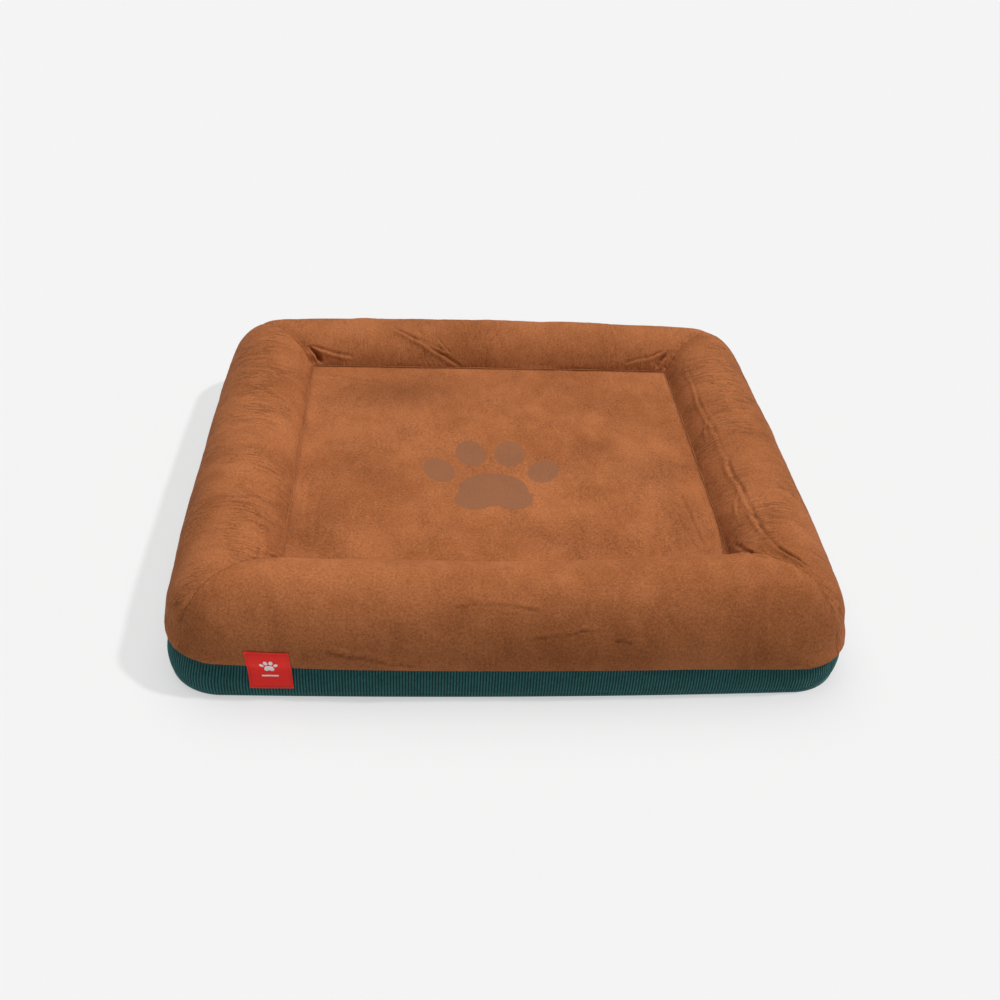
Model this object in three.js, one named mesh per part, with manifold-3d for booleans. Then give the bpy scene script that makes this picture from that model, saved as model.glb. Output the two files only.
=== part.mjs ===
// A pet cushion bed: a foam sleeping pad ringed by four stuffed bolsters, on a ribbed base band
// whose back wall opens with a zip. Its fabric covers, fillings and zip are separate solids.
//
// Millimetres, +Z up, +Y towards the back. The origin is on the floor, under the middle of the bed.

import * as THREE from 'three';
import { mergeVertices } from 'three/addons/utils/BufferGeometryUtils.js';
import Module from 'manifold-3d';

// ---- Driving dimensions --------------------------------------------------------------------

const WIDTH = 800; // across the bed, at the bolsters' widest
const DEPTH = 725; // front to back, at the bolsters' widest
const HEIGHT = 128; // floor to the bolsters' crown
const CORNER_RADIUS = 72; // of the widest outline, seen from above
const INNER_RADIUS = 4; // of the nest's corners, seen from above

const BOLSTER_WIDTH = 126; // widest outline to the inner seam
const WIDEST_HEIGHT = 66; // where a bolster is widest
const SEAM_TUCK = 1; // how far a bolster draws in from there down to the outer seam
const SLEEP_HEIGHT = 90; // top of the sleeping surface

const BAND_HEIGHT = 48; // floor to the seam between band and bolsters
const BAND_INSET = 3; // the band's outer face, in from the widest outline
const BAND_CLOTH = 2; // corduroy with its backing
const COVER_CLOTH = 2.4; // suede with its backing
const PANEL_CLOTH = 3; // suede quilted to a thin backing
const LINER_CLOTH = 0.8; // coated waterproof cloth
const LINER_INSET = 9; // the liner's outer face, which leaves the zip room behind the band
const GAP = 0.4; // between pieces that touch

const ZIP_HEIGHT = 22; // middle of the zip, above the floor
const ZIP_SLOT = 14; // gap between the two strips of the back wall
const ZIP_CHAIN = 600; // length of the closed chain
const ZIP_WALL = 630; // length of the back wall's two strips

const LABEL_WIDTH = 49;
const LABEL_TOP = 71;
const LABEL_BOTTOM = 17;
const LABEL_MIDDLE_X = -276;
const LABEL_SLANT = 0.06; // sideways shift for each millimetre of height
const LABEL_CLOTH = 0.8;

// ---- Materials -----------------------------------------------------------------------------

function material(colour, roughness, metalness = 0) {
  return new THREE.MeshStandardMaterial({ color: colour, roughness, metalness });
}

const suede = material(0xaa6a42, 0.95);
const corduroy = material(0x193a3b, 0.9);
const baseCloth = material(0x1c2123, 0.85);
const liner = material(0xd9dbd6, 0.6);
const foam = material(0xe9e1c8, 0.9);
const memoryFoam = material(0xcfe0e6, 0.9);
const fibre = material(0xf2f1ec, 1.0);
const zipTape = material(0x173334, 0.9);
const zipCoil = material(0x1d3f40, 0.5);
const zipMetal = material(0x8a8d90, 0.35, 1.0);
const labelCloth = material(0xb2271f, 0.8);

// ---- Solids --------------------------------------------------------------------------------

const wasm = await Module();
wasm.setup();

// A closed geometry as a solid that can be joined and cut.
function solidOf(geometry) {
  const bare = geometry.clone();
  bare.deleteAttribute('normal');
  bare.deleteAttribute('uv');
  const merged = mergeVertices(bare, 1e-3);
  return new wasm.Manifold(
    new wasm.Mesh({
      numProp: 3,
      vertProperties: new Float32Array(merged.attributes.position.array),
      triVerts: new Uint32Array(merged.index.array),
    }),
  );
}

function geometryOf(solid) {
  const { vertProperties, triVerts } = solid.getMesh();
  const geometry = new THREE.BufferGeometry();
  geometry.setAttribute('position', new THREE.BufferAttribute(new Float32Array(vertProperties), 3));
  geometry.setIndex(new THREE.BufferAttribute(new Uint32Array(triVerts), 1));
  geometry.computeVertexNormals();
  return geometry;
}

function piece(parent, name, geometry, finish) {
  const mesh = new THREE.Mesh(geometry, finish);
  mesh.name = name;
  parent.add(mesh);
  return mesh;
}

// A box from its two extreme corners.
function boxBetween(low, high) {
  const size = high.map((value, axis) => value - low[axis]);
  const middle = high.map((value, axis) => (value + low[axis]) / 2);
  return new THREE.BoxGeometry(...size).translate(...middle);
}

// ---- The plan outline ----------------------------------------------------------------------
//
// A station is one place along the outline, walked anticlockwise seen from above. It turns an
// inset from the widest outline into a point, and knows the direction of walking.

const CORNER_STEPS = 8; // per quarter turn; the middle one lies on the corner's mitre
const MITRE = CORNER_STEPS / 2;
const CORNERS = { frontRight: 0, backRight: 1, backLeft: 2, frontLeft: 3 };

function cornerStation(corner, step) {
  const turn = (corner - 1 + step / CORNER_STEPS) * (Math.PI / 2);
  const sideX = corner < 2 ? 1 : -1;
  const sideY = corner === 1 || corner === 2 ? 1 : -1;
  return {
    ahead: [-Math.sin(turn), Math.cos(turn)],
    at(inset) {
      const radius = Math.max(CORNER_RADIUS - inset, INNER_RADIUS);
      return [
        sideX * (WIDTH / 2 - inset - radius) + radius * Math.cos(turn),
        sideY * (DEPTH / 2 - inset - radius) + radius * Math.sin(turn),
      ];
    },
  };
}

function backStation(x) {
  return { ahead: [-1, 0], at: (inset) => [x, DEPTH / 2 - inset] };
}

function cornerStations(corner, from = 0, to = CORNER_STEPS) {
  const stations = [];
  for (let step = from; step <= to; step++) stations.push(cornerStation(corner, step));
  return stations;
}

// One side, between the mitres of its two corners.
function sideStations(corner, nextCorner) {
  return [...cornerStations(corner, MITRE), ...cornerStations(nextCorner, 0, MITRE)];
}

// Sweeps a closed section of [inset, z] points along the stations, half a gap short at each end.
function sweep(stations, section) {
  const outline = section.map(([inset, z]) => new THREE.Vector2(inset, z));
  if (THREE.ShapeUtils.isClockWise(outline)) outline.reverse();
  const count = outline.length;
  const positions = [];
  stations.forEach((station, index) => {
    const atStart = index === 0 ? GAP / 2 : 0;
    const atEnd = index === stations.length - 1 ? GAP / 2 : 0;
    const shift = atStart - atEnd;
    for (const corner of outline) {
      const [x, y] = station.at(corner.x);
      positions.push(x + shift * station.ahead[0], y + shift * station.ahead[1], corner.y);
    }
  });
  const triangles = [];
  for (let row = 0; row + 1 < stations.length; row++) {
    for (let i = 0; i < count; i++) {
      const here = row * count + i;
      const beside = row * count + ((i + 1) % count);
      triangles.push(here, beside, beside + count, here, beside + count, here + count);
    }
  }
  const last = (stations.length - 1) * count;
  for (const [a, b, c] of THREE.ShapeUtils.triangulateShape(outline, [])) {
    triangles.push(a, c, b, last + a, last + b, last + c);
  }
  const geometry = new THREE.BufferGeometry();
  geometry.setAttribute('position', new THREE.Float32BufferAttribute(positions, 3));
  geometry.setIndex(triangles);
  geometry.computeVertexNormals();
  return geometry;
}

// A flat slab with the bed's outline, drawn in by an inset.
function slab(inset, bottom, top) {
  const radius = Math.max(CORNER_RADIUS - inset, INNER_RADIUS);
  const x = WIDTH / 2 - inset - radius;
  const y = DEPTH / 2 - inset - radius;
  const shape = new THREE.Shape();
  shape.absarc(x, y, radius, 0, Math.PI / 2);
  shape.absarc(-x, y, radius, Math.PI / 2, Math.PI);
  shape.absarc(-x, -y, radius, Math.PI, Math.PI * 1.5);
  shape.absarc(x, -y, radius, Math.PI * 1.5, Math.PI * 2);
  const geometry = new THREE.ExtrudeGeometry(shape, {
    depth: top - bottom,
    bevelEnabled: false,
    curveSegments: CORNER_STEPS,
  });
  return geometry.translate(0, 0, bottom);
}

// ---- Bolsters ------------------------------------------------------------------------------

const CROWN_INSET = 66; // from the widest outline to the crown
const TUCK_STEPS = 3;
const CROWN_STEPS = 7; // on each side of the crown

// Half of a bolster's section, from its outer seam up over the crown to its inner seam, with the
// whole curve drawn in by a thickness of cloth.
function bolsterCurve(drawnIn, bottom) {
  const points = [];
  for (let step = 0; step < TUCK_STEPS; step++) {
    const down = 1 - step / TUCK_STEPS;
    points.push([drawnIn + SEAM_TUCK * down ** 2, WIDEST_HEIGHT + (bottom - WIDEST_HEIGHT) * down]);
  }
  for (let step = 0; step <= 2 * CROWN_STEPS; step++) {
    const turn = Math.PI * (1 - step / (2 * CROWN_STEPS));
    const outside = step <= CROWN_STEPS;
    const middle = outside ? WIDEST_HEIGHT : SLEEP_HEIGHT;
    const across = (outside ? CROWN_INSET : BOLSTER_WIDTH - CROWN_INSET) - drawnIn;
    points.push([
      CROWN_INSET + across * Math.cos(turn),
      middle + (HEIGHT - drawnIn - middle) * Math.sin(turn),
    ]);
  }
  return points;
}

// The suede skin: an open shell that ends at the inner seam and at the outer seam.
function bolsterCoverSection() {
  const bottom = BAND_HEIGHT + GAP;
  const innerEnd = SLEEP_HEIGHT - PANEL_CLOTH;
  const outside = [...bolsterCurve(0, bottom), [BOLSTER_WIDTH, innerEnd]];
  const inside = [...bolsterCurve(COVER_CLOTH, bottom), [BOLSTER_WIDTH - COVER_CLOTH, innerEnd]];
  return [...outside, ...inside.reverse()];
}

// The stuffed pad inside it, which stands on the support foam.
function bolsterPadSection() {
  const bottom = BAND_HEIGHT + GAP;
  const drawnIn = COVER_CLOTH + GAP;
  return [...bolsterCurve(drawnIn, bottom), [BOLSTER_WIDTH - drawnIn, bottom]];
}

const { frontRight, backRight, backLeft, frontLeft } = CORNERS;
const SIDES = {
  front: sideStations(frontLeft, frontRight),
  right: sideStations(frontRight, backRight),
  back: sideStations(backRight, backLeft),
  left: sideStations(backLeft, frontLeft),
};

function addBolsters(bed) {
  for (const [side, stations] of Object.entries(SIDES)) {
    piece(bed, `bolster_cover_${side}`, sweep(stations, bolsterCoverSection()), suede);
    piece(bed, `bolster_pad_${side}`, sweep(stations, bolsterPadSection()), fibre);
  }
}

// ---- Sleeping pad --------------------------------------------------------------------------

function addSleepingPad(bed) {
  const panelBottom = SLEEP_HEIGHT - PANEL_CLOTH;
  const crownInset = BOLSTER_WIDTH + GAP; // of the liner where it stands between the bolsters
  const crownTop = panelBottom - GAP;
  const brimTop = BAND_HEIGHT;
  const brimBottom = brimTop - LINER_CLOTH;
  const foamInset = LINER_INSET + LINER_CLOTH + GAP;
  const trayBottom = BAND_CLOTH + GAP;

  piece(bed, 'sleep_panel', slab(crownInset, panelBottom, SLEEP_HEIGHT), suede);

  const memoryInset = crownInset + LINER_CLOTH + GAP;
  const memoryTop = crownTop - LINER_CLOTH - GAP;
  piece(bed, 'memory_foam_insert', slab(memoryInset, brimTop + GAP, memoryTop), memoryFoam);
  const supportBottom = trayBottom + LINER_CLOTH + GAP;
  piece(bed, 'support_foam', slab(foamInset, supportBottom, brimBottom - GAP), foam);

  // The waterproof liner: a cap over the insert with a brim over the support foam, and a tray.
  const brim = solidOf(slab(LINER_INSET, brimBottom, brimTop));
  const crown = solidOf(slab(crownInset, brimBottom, crownTop));
  const hollow = solidOf(
    slab(crownInset + LINER_CLOTH, brimBottom - LINER_CLOTH, crownTop - LINER_CLOTH),
  );
  piece(bed, 'liner_cap', geometryOf(brim.add(crown).subtract(hollow)), liner);

  const tray = solidOf(slab(LINER_INSET, trayBottom, brimBottom - GAP));
  const inside = solidOf(slab(LINER_INSET + LINER_CLOTH, trayBottom + LINER_CLOTH, brimTop));
  piece(bed, 'liner_tray', geometryOf(tray.subtract(inside)), liner);
}

// ---- Base ----------------------------------------------------------------------------------

function bandSection(bottom, top) {
  const inner = BAND_INSET + BAND_CLOTH;
  return [[BAND_INSET, bottom], [inner, bottom], [inner, top], [BAND_INSET, top]];
}

function addBase(bed) {
  piece(bed, 'bottom_panel', slab(BAND_INSET, 0, BAND_CLOTH), baseCloth);

  const bottom = BAND_CLOTH + GAP;
  const fullHeight = bandSection(bottom, BAND_HEIGHT);
  const rightEnd = backStation(ZIP_WALL / 2);
  const leftEnd = backStation(-ZIP_WALL / 2);
  const right = [...cornerStations(frontRight, MITRE), ...cornerStations(backRight), rightEnd];
  const left = [leftEnd, ...cornerStations(backLeft), ...cornerStations(frontLeft, 0, MITRE)];
  piece(bed, 'band_front', sweep(SIDES.front, fullHeight), corduroy);
  piece(bed, 'band_right', sweep(right, fullHeight), corduroy);
  piece(bed, 'band_left', sweep(left, fullHeight), corduroy);

  const aboveZip = bandSection(ZIP_HEIGHT + ZIP_SLOT / 2, BAND_HEIGHT);
  const belowZip = bandSection(bottom, ZIP_HEIGHT - ZIP_SLOT / 2);
  piece(bed, 'band_back_upper', sweep([rightEnd, leftEnd], aboveZip), corduroy);
  piece(bed, 'band_back_lower', sweep([rightEnd, leftEnd], belowZip), corduroy);
}

// ---- Zip -----------------------------------------------------------------------------------
//
// The zip is drawn lying flat: x along the chain, y across it and z out of the back wall, from
// the wall's outer face. Its group then stands it up in the wall.

const TAPE_TOP = -BAND_CLOTH - GAP; // the tapes are sewn behind the wall
const TAPE_CLOTH = 0.8;
const TAPE_WIDTH = 16;
const CHAIN_HALF = 2.6; // width of one half of the closed chain
const CHAIN_TOP = 0.2;
const STOP_LENGTH = 3;
const SLIDER_LENGTH = 13;
const SLIDER_HALF = 5.2; // half its width at the mouth
const SLIDER_TAIL = 3.6; // half its width at the tail
const WING_BOTTOM = CHAIN_TOP + 0.5;
const WING_TOP = WING_BOTTOM + 1.2;
const PIN_HEIGHT = WING_TOP + 2.5;
const PIN_RADIUS = 0.75;
const BORE_RADIUS = PIN_RADIUS + 0.35;
const EYE_RADIUS = 2.1;
const EYE_HALF = 2; // half the width of the pull tab between the lugs
const LUG_THICKNESS = 1.2;
const TAB_LENGTH = 30;
const TAB_HALF = 4;
const TAB_THICKNESS = 1.4;
const TAB_HOLE_RADIUS = 1.8;

function addTapes(zip) {
  const half = ZIP_CHAIN / 2;
  for (const [name, sign] of [['upper', -1], ['lower', 1]]) {
    const near = sign * (GAP / 2);
    const span = (from, to) => [Math.min(from, to), Math.max(from, to)];
    const [tapeLow, tapeHigh] = span(near, sign * TAPE_WIDTH);
    const tapeEnd = half + 2 * STOP_LENGTH;
    const tape = boxBetween(
      [-tapeEnd, tapeLow, TAPE_TOP - TAPE_CLOTH],
      [tapeEnd, tapeHigh, TAPE_TOP],
    );
    piece(zip, `zip_tape_${name}`, tape, zipTape);
    const [chainLow, chainHigh] = span(near, sign * CHAIN_HALF);
    const chain = boxBetween([-half, chainLow, TAPE_TOP + GAP], [half, chainHigh, CHAIN_TOP]);
    piece(zip, `zip_chain_${name}`, chain, zipCoil);
  }
}

function addStops(zip) {
  const start = ZIP_CHAIN / 2 + GAP;
  const end = start + STOP_LENGTH;
  const half = CHAIN_HALF + GAP;
  for (const [name, sign] of [['left', 1], ['right', -1]]) {
    const low = Math.min(sign * start, sign * end);
    const stop = boxBetween([low, -half, TAPE_TOP + GAP], [low + STOP_LENGTH, half, CHAIN_TOP + 0.5]);
    piece(zip, `zip_stop_${name}`, stop, zipMetal);

    // A folded patch of corduroy hides the tapes' end and the joint in the wall.
    const patchFrom = end + GAP;
    const patchTo = ZIP_WALL / 2 + 5;
    const patchLow = sign > 0 ? patchFrom : -patchTo;
    const patch = boxBetween(
      [patchLow, -ZIP_SLOT / 2 - 3, GAP],
      [patchLow + patchTo - patchFrom, ZIP_SLOT / 2 + 3, GAP + 1],
    );
    piece(zip, `zip_end_patch_${name}`, patch, corduroy);
  }
}

// A cylinder across the zip, centred on the pull tab's pin.
function acrossZip(radius, halfLength) {
  return new THREE.CylinderGeometry(radius, radius, 2 * halfLength, 24).translate(0, 0, PIN_HEIGHT);
}

function sliderBody() {
  const shape = new THREE.Shape();
  const nose = SLIDER_LENGTH / 2;
  shape.moveTo(-nose, -SLIDER_TAIL);
  shape.quadraticCurveTo(-1, -SLIDER_TAIL, nose - 4, -SLIDER_HALF);
  shape.quadraticCurveTo(nose, -SLIDER_HALF, nose, -SLIDER_HALF + 3);
  shape.lineTo(nose, SLIDER_HALF - 3);
  shape.quadraticCurveTo(nose, SLIDER_HALF, nose - 4, SLIDER_HALF);
  shape.quadraticCurveTo(-1, SLIDER_TAIL, -nose, SLIDER_TAIL);
  shape.closePath();
  const thickness = WING_TOP - WING_BOTTOM;
  const wing = new THREE.ExtrudeGeometry(shape, {
    depth: thickness,
    bevelEnabled: false,
    curveSegments: 6,
  });
  let body = solidOf(wing.clone().translate(0, 0, WING_BOTTOM));
  for (const sign of [-1, 1]) {
    // A flange down each side keeps the chain in, and a lug holds the pin.
    const flangeIn = sign * (CHAIN_HALF + GAP);
    const flangeOut = sign * (SLIDER_TAIL + 0.2);
    const flange = boxBetween(
      [-nose + 1, Math.min(flangeIn, flangeOut), TAPE_TOP + GAP],
      [nose - 3, Math.max(flangeIn, flangeOut), WING_BOTTOM + 0.1],
    );
    const lugIn = sign * (EYE_HALF + GAP);
    const lugOut = lugIn + sign * LUG_THICKNESS;
    const lug = boxBetween(
      [-2, Math.min(lugIn, lugOut), WING_TOP - 0.1],
      [2, Math.max(lugIn, lugOut), PIN_HEIGHT + 1.8],
    );
    body = body.add(solidOf(flange)).add(solidOf(lug));
  }
  const bore = solidOf(acrossZip(BORE_RADIUS, SLIDER_HALF));
  const backTop = TAPE_TOP - TAPE_CLOTH - 0.5;
  const back = wing.clone().translate(0, 0, backTop - thickness);
  return { body: geometryOf(body.subtract(bore)), back };
}

function pullTab() {
  const shape = new THREE.Shape();
  const neck = 6; // where the tab widens, clear of the lugs
  shape.moveTo(0.5, -EYE_HALF);
  shape.lineTo(neck, -EYE_HALF);
  shape.quadraticCurveTo(neck + 2, -EYE_HALF, neck + 4, -TAB_HALF);
  shape.lineTo(TAB_LENGTH - TAB_HALF, -TAB_HALF);
  shape.absarc(TAB_LENGTH - TAB_HALF, 0, TAB_HALF, -Math.PI / 2, Math.PI / 2);
  shape.lineTo(neck + 4, TAB_HALF);
  shape.quadraticCurveTo(neck + 2, EYE_HALF, neck, EYE_HALF);
  shape.lineTo(0.5, EYE_HALF);
  shape.closePath();
  const hole = new THREE.Path();
  hole.absarc(TAB_LENGTH - TAB_HALF - 1, 0, TAB_HOLE_RADIUS, 0, Math.PI * 2);
  shape.holes.push(hole);
  const plate = new THREE.ExtrudeGeometry(shape, {
    depth: TAB_THICKNESS,
    bevelEnabled: false,
    curveSegments: 8,
  }).translate(0, 0, PIN_HEIGHT - TAB_THICKNESS / 2);
  const eye = solidOf(acrossZip(EYE_RADIUS, EYE_HALF));
  const bore = solidOf(acrossZip(BORE_RADIUS, TAB_HALF));
  return geometryOf(solidOf(plate).add(eye).subtract(bore));
}

function addZip(bed) {
  const zip = new THREE.Group();
  zip.position.set(0, DEPTH / 2 - BAND_INSET, ZIP_HEIGHT);
  zip.rotation.x = -Math.PI / 2;
  bed.add(zip);
  addTapes(zip);
  addStops(zip);

  // The slider stands at the closed end, with its tab laid back along the chain.
  const slider = new THREE.Group();
  slider.position.x = -(ZIP_CHAIN / 2 - SLIDER_LENGTH / 2 - 1.5);
  zip.add(slider);
  const { body, back } = sliderBody();
  piece(slider, 'slider_body', body, zipMetal);
  piece(slider, 'slider_back_plate', back, zipMetal);
  piece(slider, 'pull_pin', acrossZip(PIN_RADIUS, EYE_HALF + LUG_THICKNESS + GAP), zipMetal);
  piece(slider, 'pull_tab', pullTab(), zipMetal);
}

// ---- Label ---------------------------------------------------------------------------------

// A woven label across the front seam. It hangs from the bolster and rests on the band.
function addLabel(bed) {
  const insets = [
    [LABEL_TOP, -GAP],
    [60, -GAP],
    [52, 0.2],
    [46, 1.2],
    [38, 2.1],
    [30, 2.5],
    [LABEL_BOTTOM, 2.6],
  ];
  const wallY = (inset) => -DEPTH / 2 + inset;
  const inside = insets.map(([z, inset]) => new THREE.Vector2(wallY(inset), z));
  const outside = insets.map(([z, inset]) => new THREE.Vector2(wallY(inset - LABEL_CLOTH), z));
  const profile = new THREE.Shape([...inside, ...outside.reverse()]);
  const geometry = new THREE.ExtrudeGeometry(profile, { depth: LABEL_WIDTH, bevelEnabled: false });

  // The profile's x and y become the bed's y and z, and the label's width runs along x.
  const stand = new THREE.Matrix4().makeBasis(
    new THREE.Vector3(0, 1, 0),
    new THREE.Vector3(0, 0, 1),
    new THREE.Vector3(1, 0, 0),
  );
  const middleZ = (LABEL_TOP + LABEL_BOTTOM) / 2;
  const slant = new THREE.Matrix4().makeShear(0, 0, 0, 0, -LABEL_SLANT, 0);
  geometry.applyMatrix4(stand).translate(-LABEL_WIDTH / 2, 0, -middleZ);
  geometry.applyMatrix4(slant).translate(LABEL_MIDDLE_X, 0, middleZ);
  piece(bed, 'side_label', geometry, labelCloth);
}

// ---- The bed -------------------------------------------------------------------------------

const bed = new THREE.Group();
addBase(bed);
addSleepingPad(bed);
addBolsters(bed);
addZip(bed);
addLabel(bed);

export default bed;
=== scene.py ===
"""A pet cushion bed: stuffed suede bolsters round a flat sleeping pad, on a corduroy base band.

Metres, +Z up, +Y towards the back. The origin is on the floor, under the middle of the bed.
"""

import math

import bpy
import numpy as np
from mathutils import Matrix, Vector


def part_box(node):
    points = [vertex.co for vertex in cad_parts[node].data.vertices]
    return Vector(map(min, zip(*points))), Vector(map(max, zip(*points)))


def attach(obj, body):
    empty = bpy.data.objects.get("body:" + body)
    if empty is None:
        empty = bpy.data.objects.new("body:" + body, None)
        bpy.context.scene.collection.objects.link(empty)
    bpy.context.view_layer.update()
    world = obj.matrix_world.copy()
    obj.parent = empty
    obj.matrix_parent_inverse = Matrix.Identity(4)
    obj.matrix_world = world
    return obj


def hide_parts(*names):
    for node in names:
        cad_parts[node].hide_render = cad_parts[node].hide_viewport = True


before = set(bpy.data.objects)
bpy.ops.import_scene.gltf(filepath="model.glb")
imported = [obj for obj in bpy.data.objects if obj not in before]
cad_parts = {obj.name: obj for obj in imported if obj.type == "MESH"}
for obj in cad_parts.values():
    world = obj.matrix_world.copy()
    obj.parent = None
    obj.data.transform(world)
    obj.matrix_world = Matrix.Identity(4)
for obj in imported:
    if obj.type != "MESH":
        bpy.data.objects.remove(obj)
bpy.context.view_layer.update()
MM = 0.001

# ---- Sizes, from the frame ------------------------------------------------------------------

cover_low, cover_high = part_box("bolster_cover_front")
panel_low, panel_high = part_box("sleep_panel")
band_low, band_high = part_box("band_front")
side_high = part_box("bolster_cover_right")[1]
label_low, label_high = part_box("side_label")

WIDTH = 2 * side_high.x
DEPTH = -2 * cover_low.y
HEIGHT = cover_high.z
SEAM_HEIGHT = cover_low.z  # the seam between the bolsters and the band
SLEEP_HEIGHT = panel_high.z
PANEL_INSET = WIDTH / 2 - panel_high.x
BAND_BOTTOM = band_low.z
BAND_TOP = band_high.z
BAND_INSET = DEPTH / 2 + band_low.y

# ---- Sizes of the sewing --------------------------------------------------------------------

CORNER_RADIUS = 72 * MM
HEM_CORNER = 64 * MM  # the bolsters' hem and the band turn the corners more tightly
BAND_CORNER = 66 * MM
BAND_PROUD = 4 * MM  # how far the foam pushes the band out, except at the zip
INNER_RADIUS = 4 * MM
BOLSTER_WIDTH = 126 * MM  # widest outline to the inner seam
WIDEST_HEIGHT = 66 * MM
INNER_SLOPE = 1.3  # over 1, the bolsters meet the panel less steeply
CROWN_INSET = 66 * MM
OVERHANG = 4 * MM  # how far the bolsters hang out over the band
HEM_TUCK = 1 * MM
MITRE_GAP = 0.15 * MM

# The stuffing bows the sides outwards, in x and in y, and draws the corners in.
BOW = np.array([6, 12.5]) * MM
CORNER_DRAW = np.array([3, 5.5]) * MM
BOW_REACH = 140 * MM
DRAW_START = 20 * MM  # the height from which the corners are drawn in

# The bolsters sag over the band, most of all at the front's right corner.
SIDE_SAG = 5 * MM
FRONT_SAG = 5 * MM
CORNER_SAG = 9 * MM
LEAST_SAG = 2 * MM
CORNER_RISE = 7 * MM  # how much fuller the bolsters are at that corner

CLOTH_STEP = 5 * MM  # spacing of the simulated cloth's threads
RIB_PITCH = 3.4 * MM
RIB_HEIGHT = 1.0 * MM

SIDES = ("front", "right", "back", "left")  # anticlockwise, seen from above


# ---- The plan outline -----------------------------------------------------------------------


class Outline:
    """The bed's rounded rectangle at one inset, walked anticlockwise from the front's middle."""

    def __init__(self, inset, corner=CORNER_RADIUS):
        self.radius = max(corner - inset, INNER_RADIUS)
        x = WIDTH / 2 - inset - self.radius
        y = DEPTH / 2 - inset - self.radius
        quarter = self.radius * math.pi / 2
        self.lead = x
        self.centres = np.array([(x, -y), (x, y), (-x, y), (-x, -y)])
        self.lengths = np.array([2 * x, quarter, 2 * y, quarter] * 2)
        self.starts = np.concatenate([[0], np.cumsum(self.lengths)])
        self.length = self.starts[-1]
        self.mitres = self.starts[[1, 3, 5, 7]] + quarter / 2 - self.lead

    def at(self, distance):
        """Points and outward directions at an array of distances."""
        walked = np.mod(np.asarray(distance, float) + self.lead, self.length)
        part = np.clip(np.searchsorted(self.starts, walked, "right") - 1, 0, 7)
        rest = walked - self.starts[part]
        corner = part // 2
        turning = part % 2 == 1
        angle = (corner - 1) * math.pi / 2 + np.where(turning, rest / self.radius, 0)
        outward = np.stack([np.cos(angle), np.sin(angle)], -1)
        ahead = np.stack([-np.sin(angle), np.cos(angle)], -1)
        back_from = np.where(turning, 0, self.lengths[part] - rest)
        points = self.centres[corner] + self.radius * outward - back_from[..., None] * ahead
        return points, outward

    def side(self, number, fraction):
        """Distances at fractions, -1 to 1, of one side between its two mitres."""
        first = self.mitres[number - 1] - (self.length if number == 0 else 0)
        return first + (self.mitres[number] - first) * (np.asarray(fraction) + 1) / 2


def smooth_step(low, high, value):
    """0 at low and 1 at high, with a smooth rise between them."""
    part = np.clip((value - low) / (high - low), 0, 1)
    return part * part * (3 - 2 * part)


def distance_along(path):
    """Each point's distance from the first, along a path of points."""
    return np.concatenate([[0], np.cumsum(np.linalg.norm(np.diff(path, axis=0), axis=1))])


def bolster_section(count):
    """Points (inset, z) evenly spaced from the hem over the crown to the inner seam, and the
    distance of each from the hem."""
    fine = []
    for down in np.linspace(1, 0, 14, endpoint=False):
        turned = smooth_step(0.8, 1.0, down)
        inset = HEM_TUCK * turned - OVERHANG * down * (1 - turned)
        fine.append((inset, WIDEST_HEIGHT - (WIDEST_HEIGHT - SEAM_HEIGHT) * down))
    for turn in np.linspace(math.pi, 0, 96):
        outside = turn > math.pi / 2
        across = CROWN_INSET if outside else BOLSTER_WIDTH - CROWN_INSET
        middle = WIDEST_HEIGHT if outside else SLEEP_HEIGHT
        lift = (HEIGHT - middle) * math.sin(turn) ** (1 if outside else INNER_SLOPE)
        fine.append((CROWN_INSET + across * math.cos(turn), middle + lift))
    fine = np.array(fine)
    gone = distance_along(fine)
    up = np.linspace(0, gone[-1], count)
    return np.stack([np.interp(up, gone, fine[:, 0]), np.interp(up, gone, fine[:, 1])], -1), up


def bowed(points):
    """Points moved as the stuffing bows the bed's sides. The back wall stays straight for its zip."""
    half = np.array([WIDTH, DEPTH]) / 2
    plan = points[..., :2]
    share = np.clip(plan / half, -1, 1)
    near = np.clip((np.abs(plan) - half + BOW_REACH) / (BOW_REACH / 2), 0, 1)
    turn = share[..., ::-1] ** 2
    over_band = smooth_step(DRAW_START, SEAM_HEIGHT, points[..., 2:])
    swing = (BOW - CORNER_DRAW) * (1 - turn) - CORNER_DRAW * turn * over_band
    above_wall = smooth_step(SEAM_HEIGHT, WIDEST_HEIGHT + 10 * MM, points[..., 2])
    swing[..., 1] *= np.where(points[..., 1] > 0, above_wall, 1)
    moved = np.array(points)
    moved[..., :2] += np.sign(plan) * near * swing
    return moved


def sag(side, fraction):
    """How far the hem hangs below the seam at fractions, -1 to 1, of one side."""
    middle = LEAST_SAG + (SIDE_SAG - LEAST_SAG) * (1 - fraction**2)
    if side == "front":
        rest = (CORNER_SAG - FRONT_SAG) * smooth_step(0.5, 1, fraction)
        return LEAST_SAG + (FRONT_SAG - LEAST_SAG) * smooth_step(-1, -0.45, fraction) + rest
    if side == "right":
        return middle + (CORNER_SAG - LEAST_SAG) * smooth_step(-0.6, -1, fraction)
    return middle


def rise(side, fraction):
    """How much higher the crown stands at fractions of one side."""
    if side == "front":
        return CORNER_RISE * smooth_step(-0.1, 0.95, fraction)
    if side == "right":
        return CORNER_RISE * smooth_step(-0.45, -1, fraction)
    return 0 * fraction


# ---- Mesh helpers ---------------------------------------------------------------------------


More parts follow.
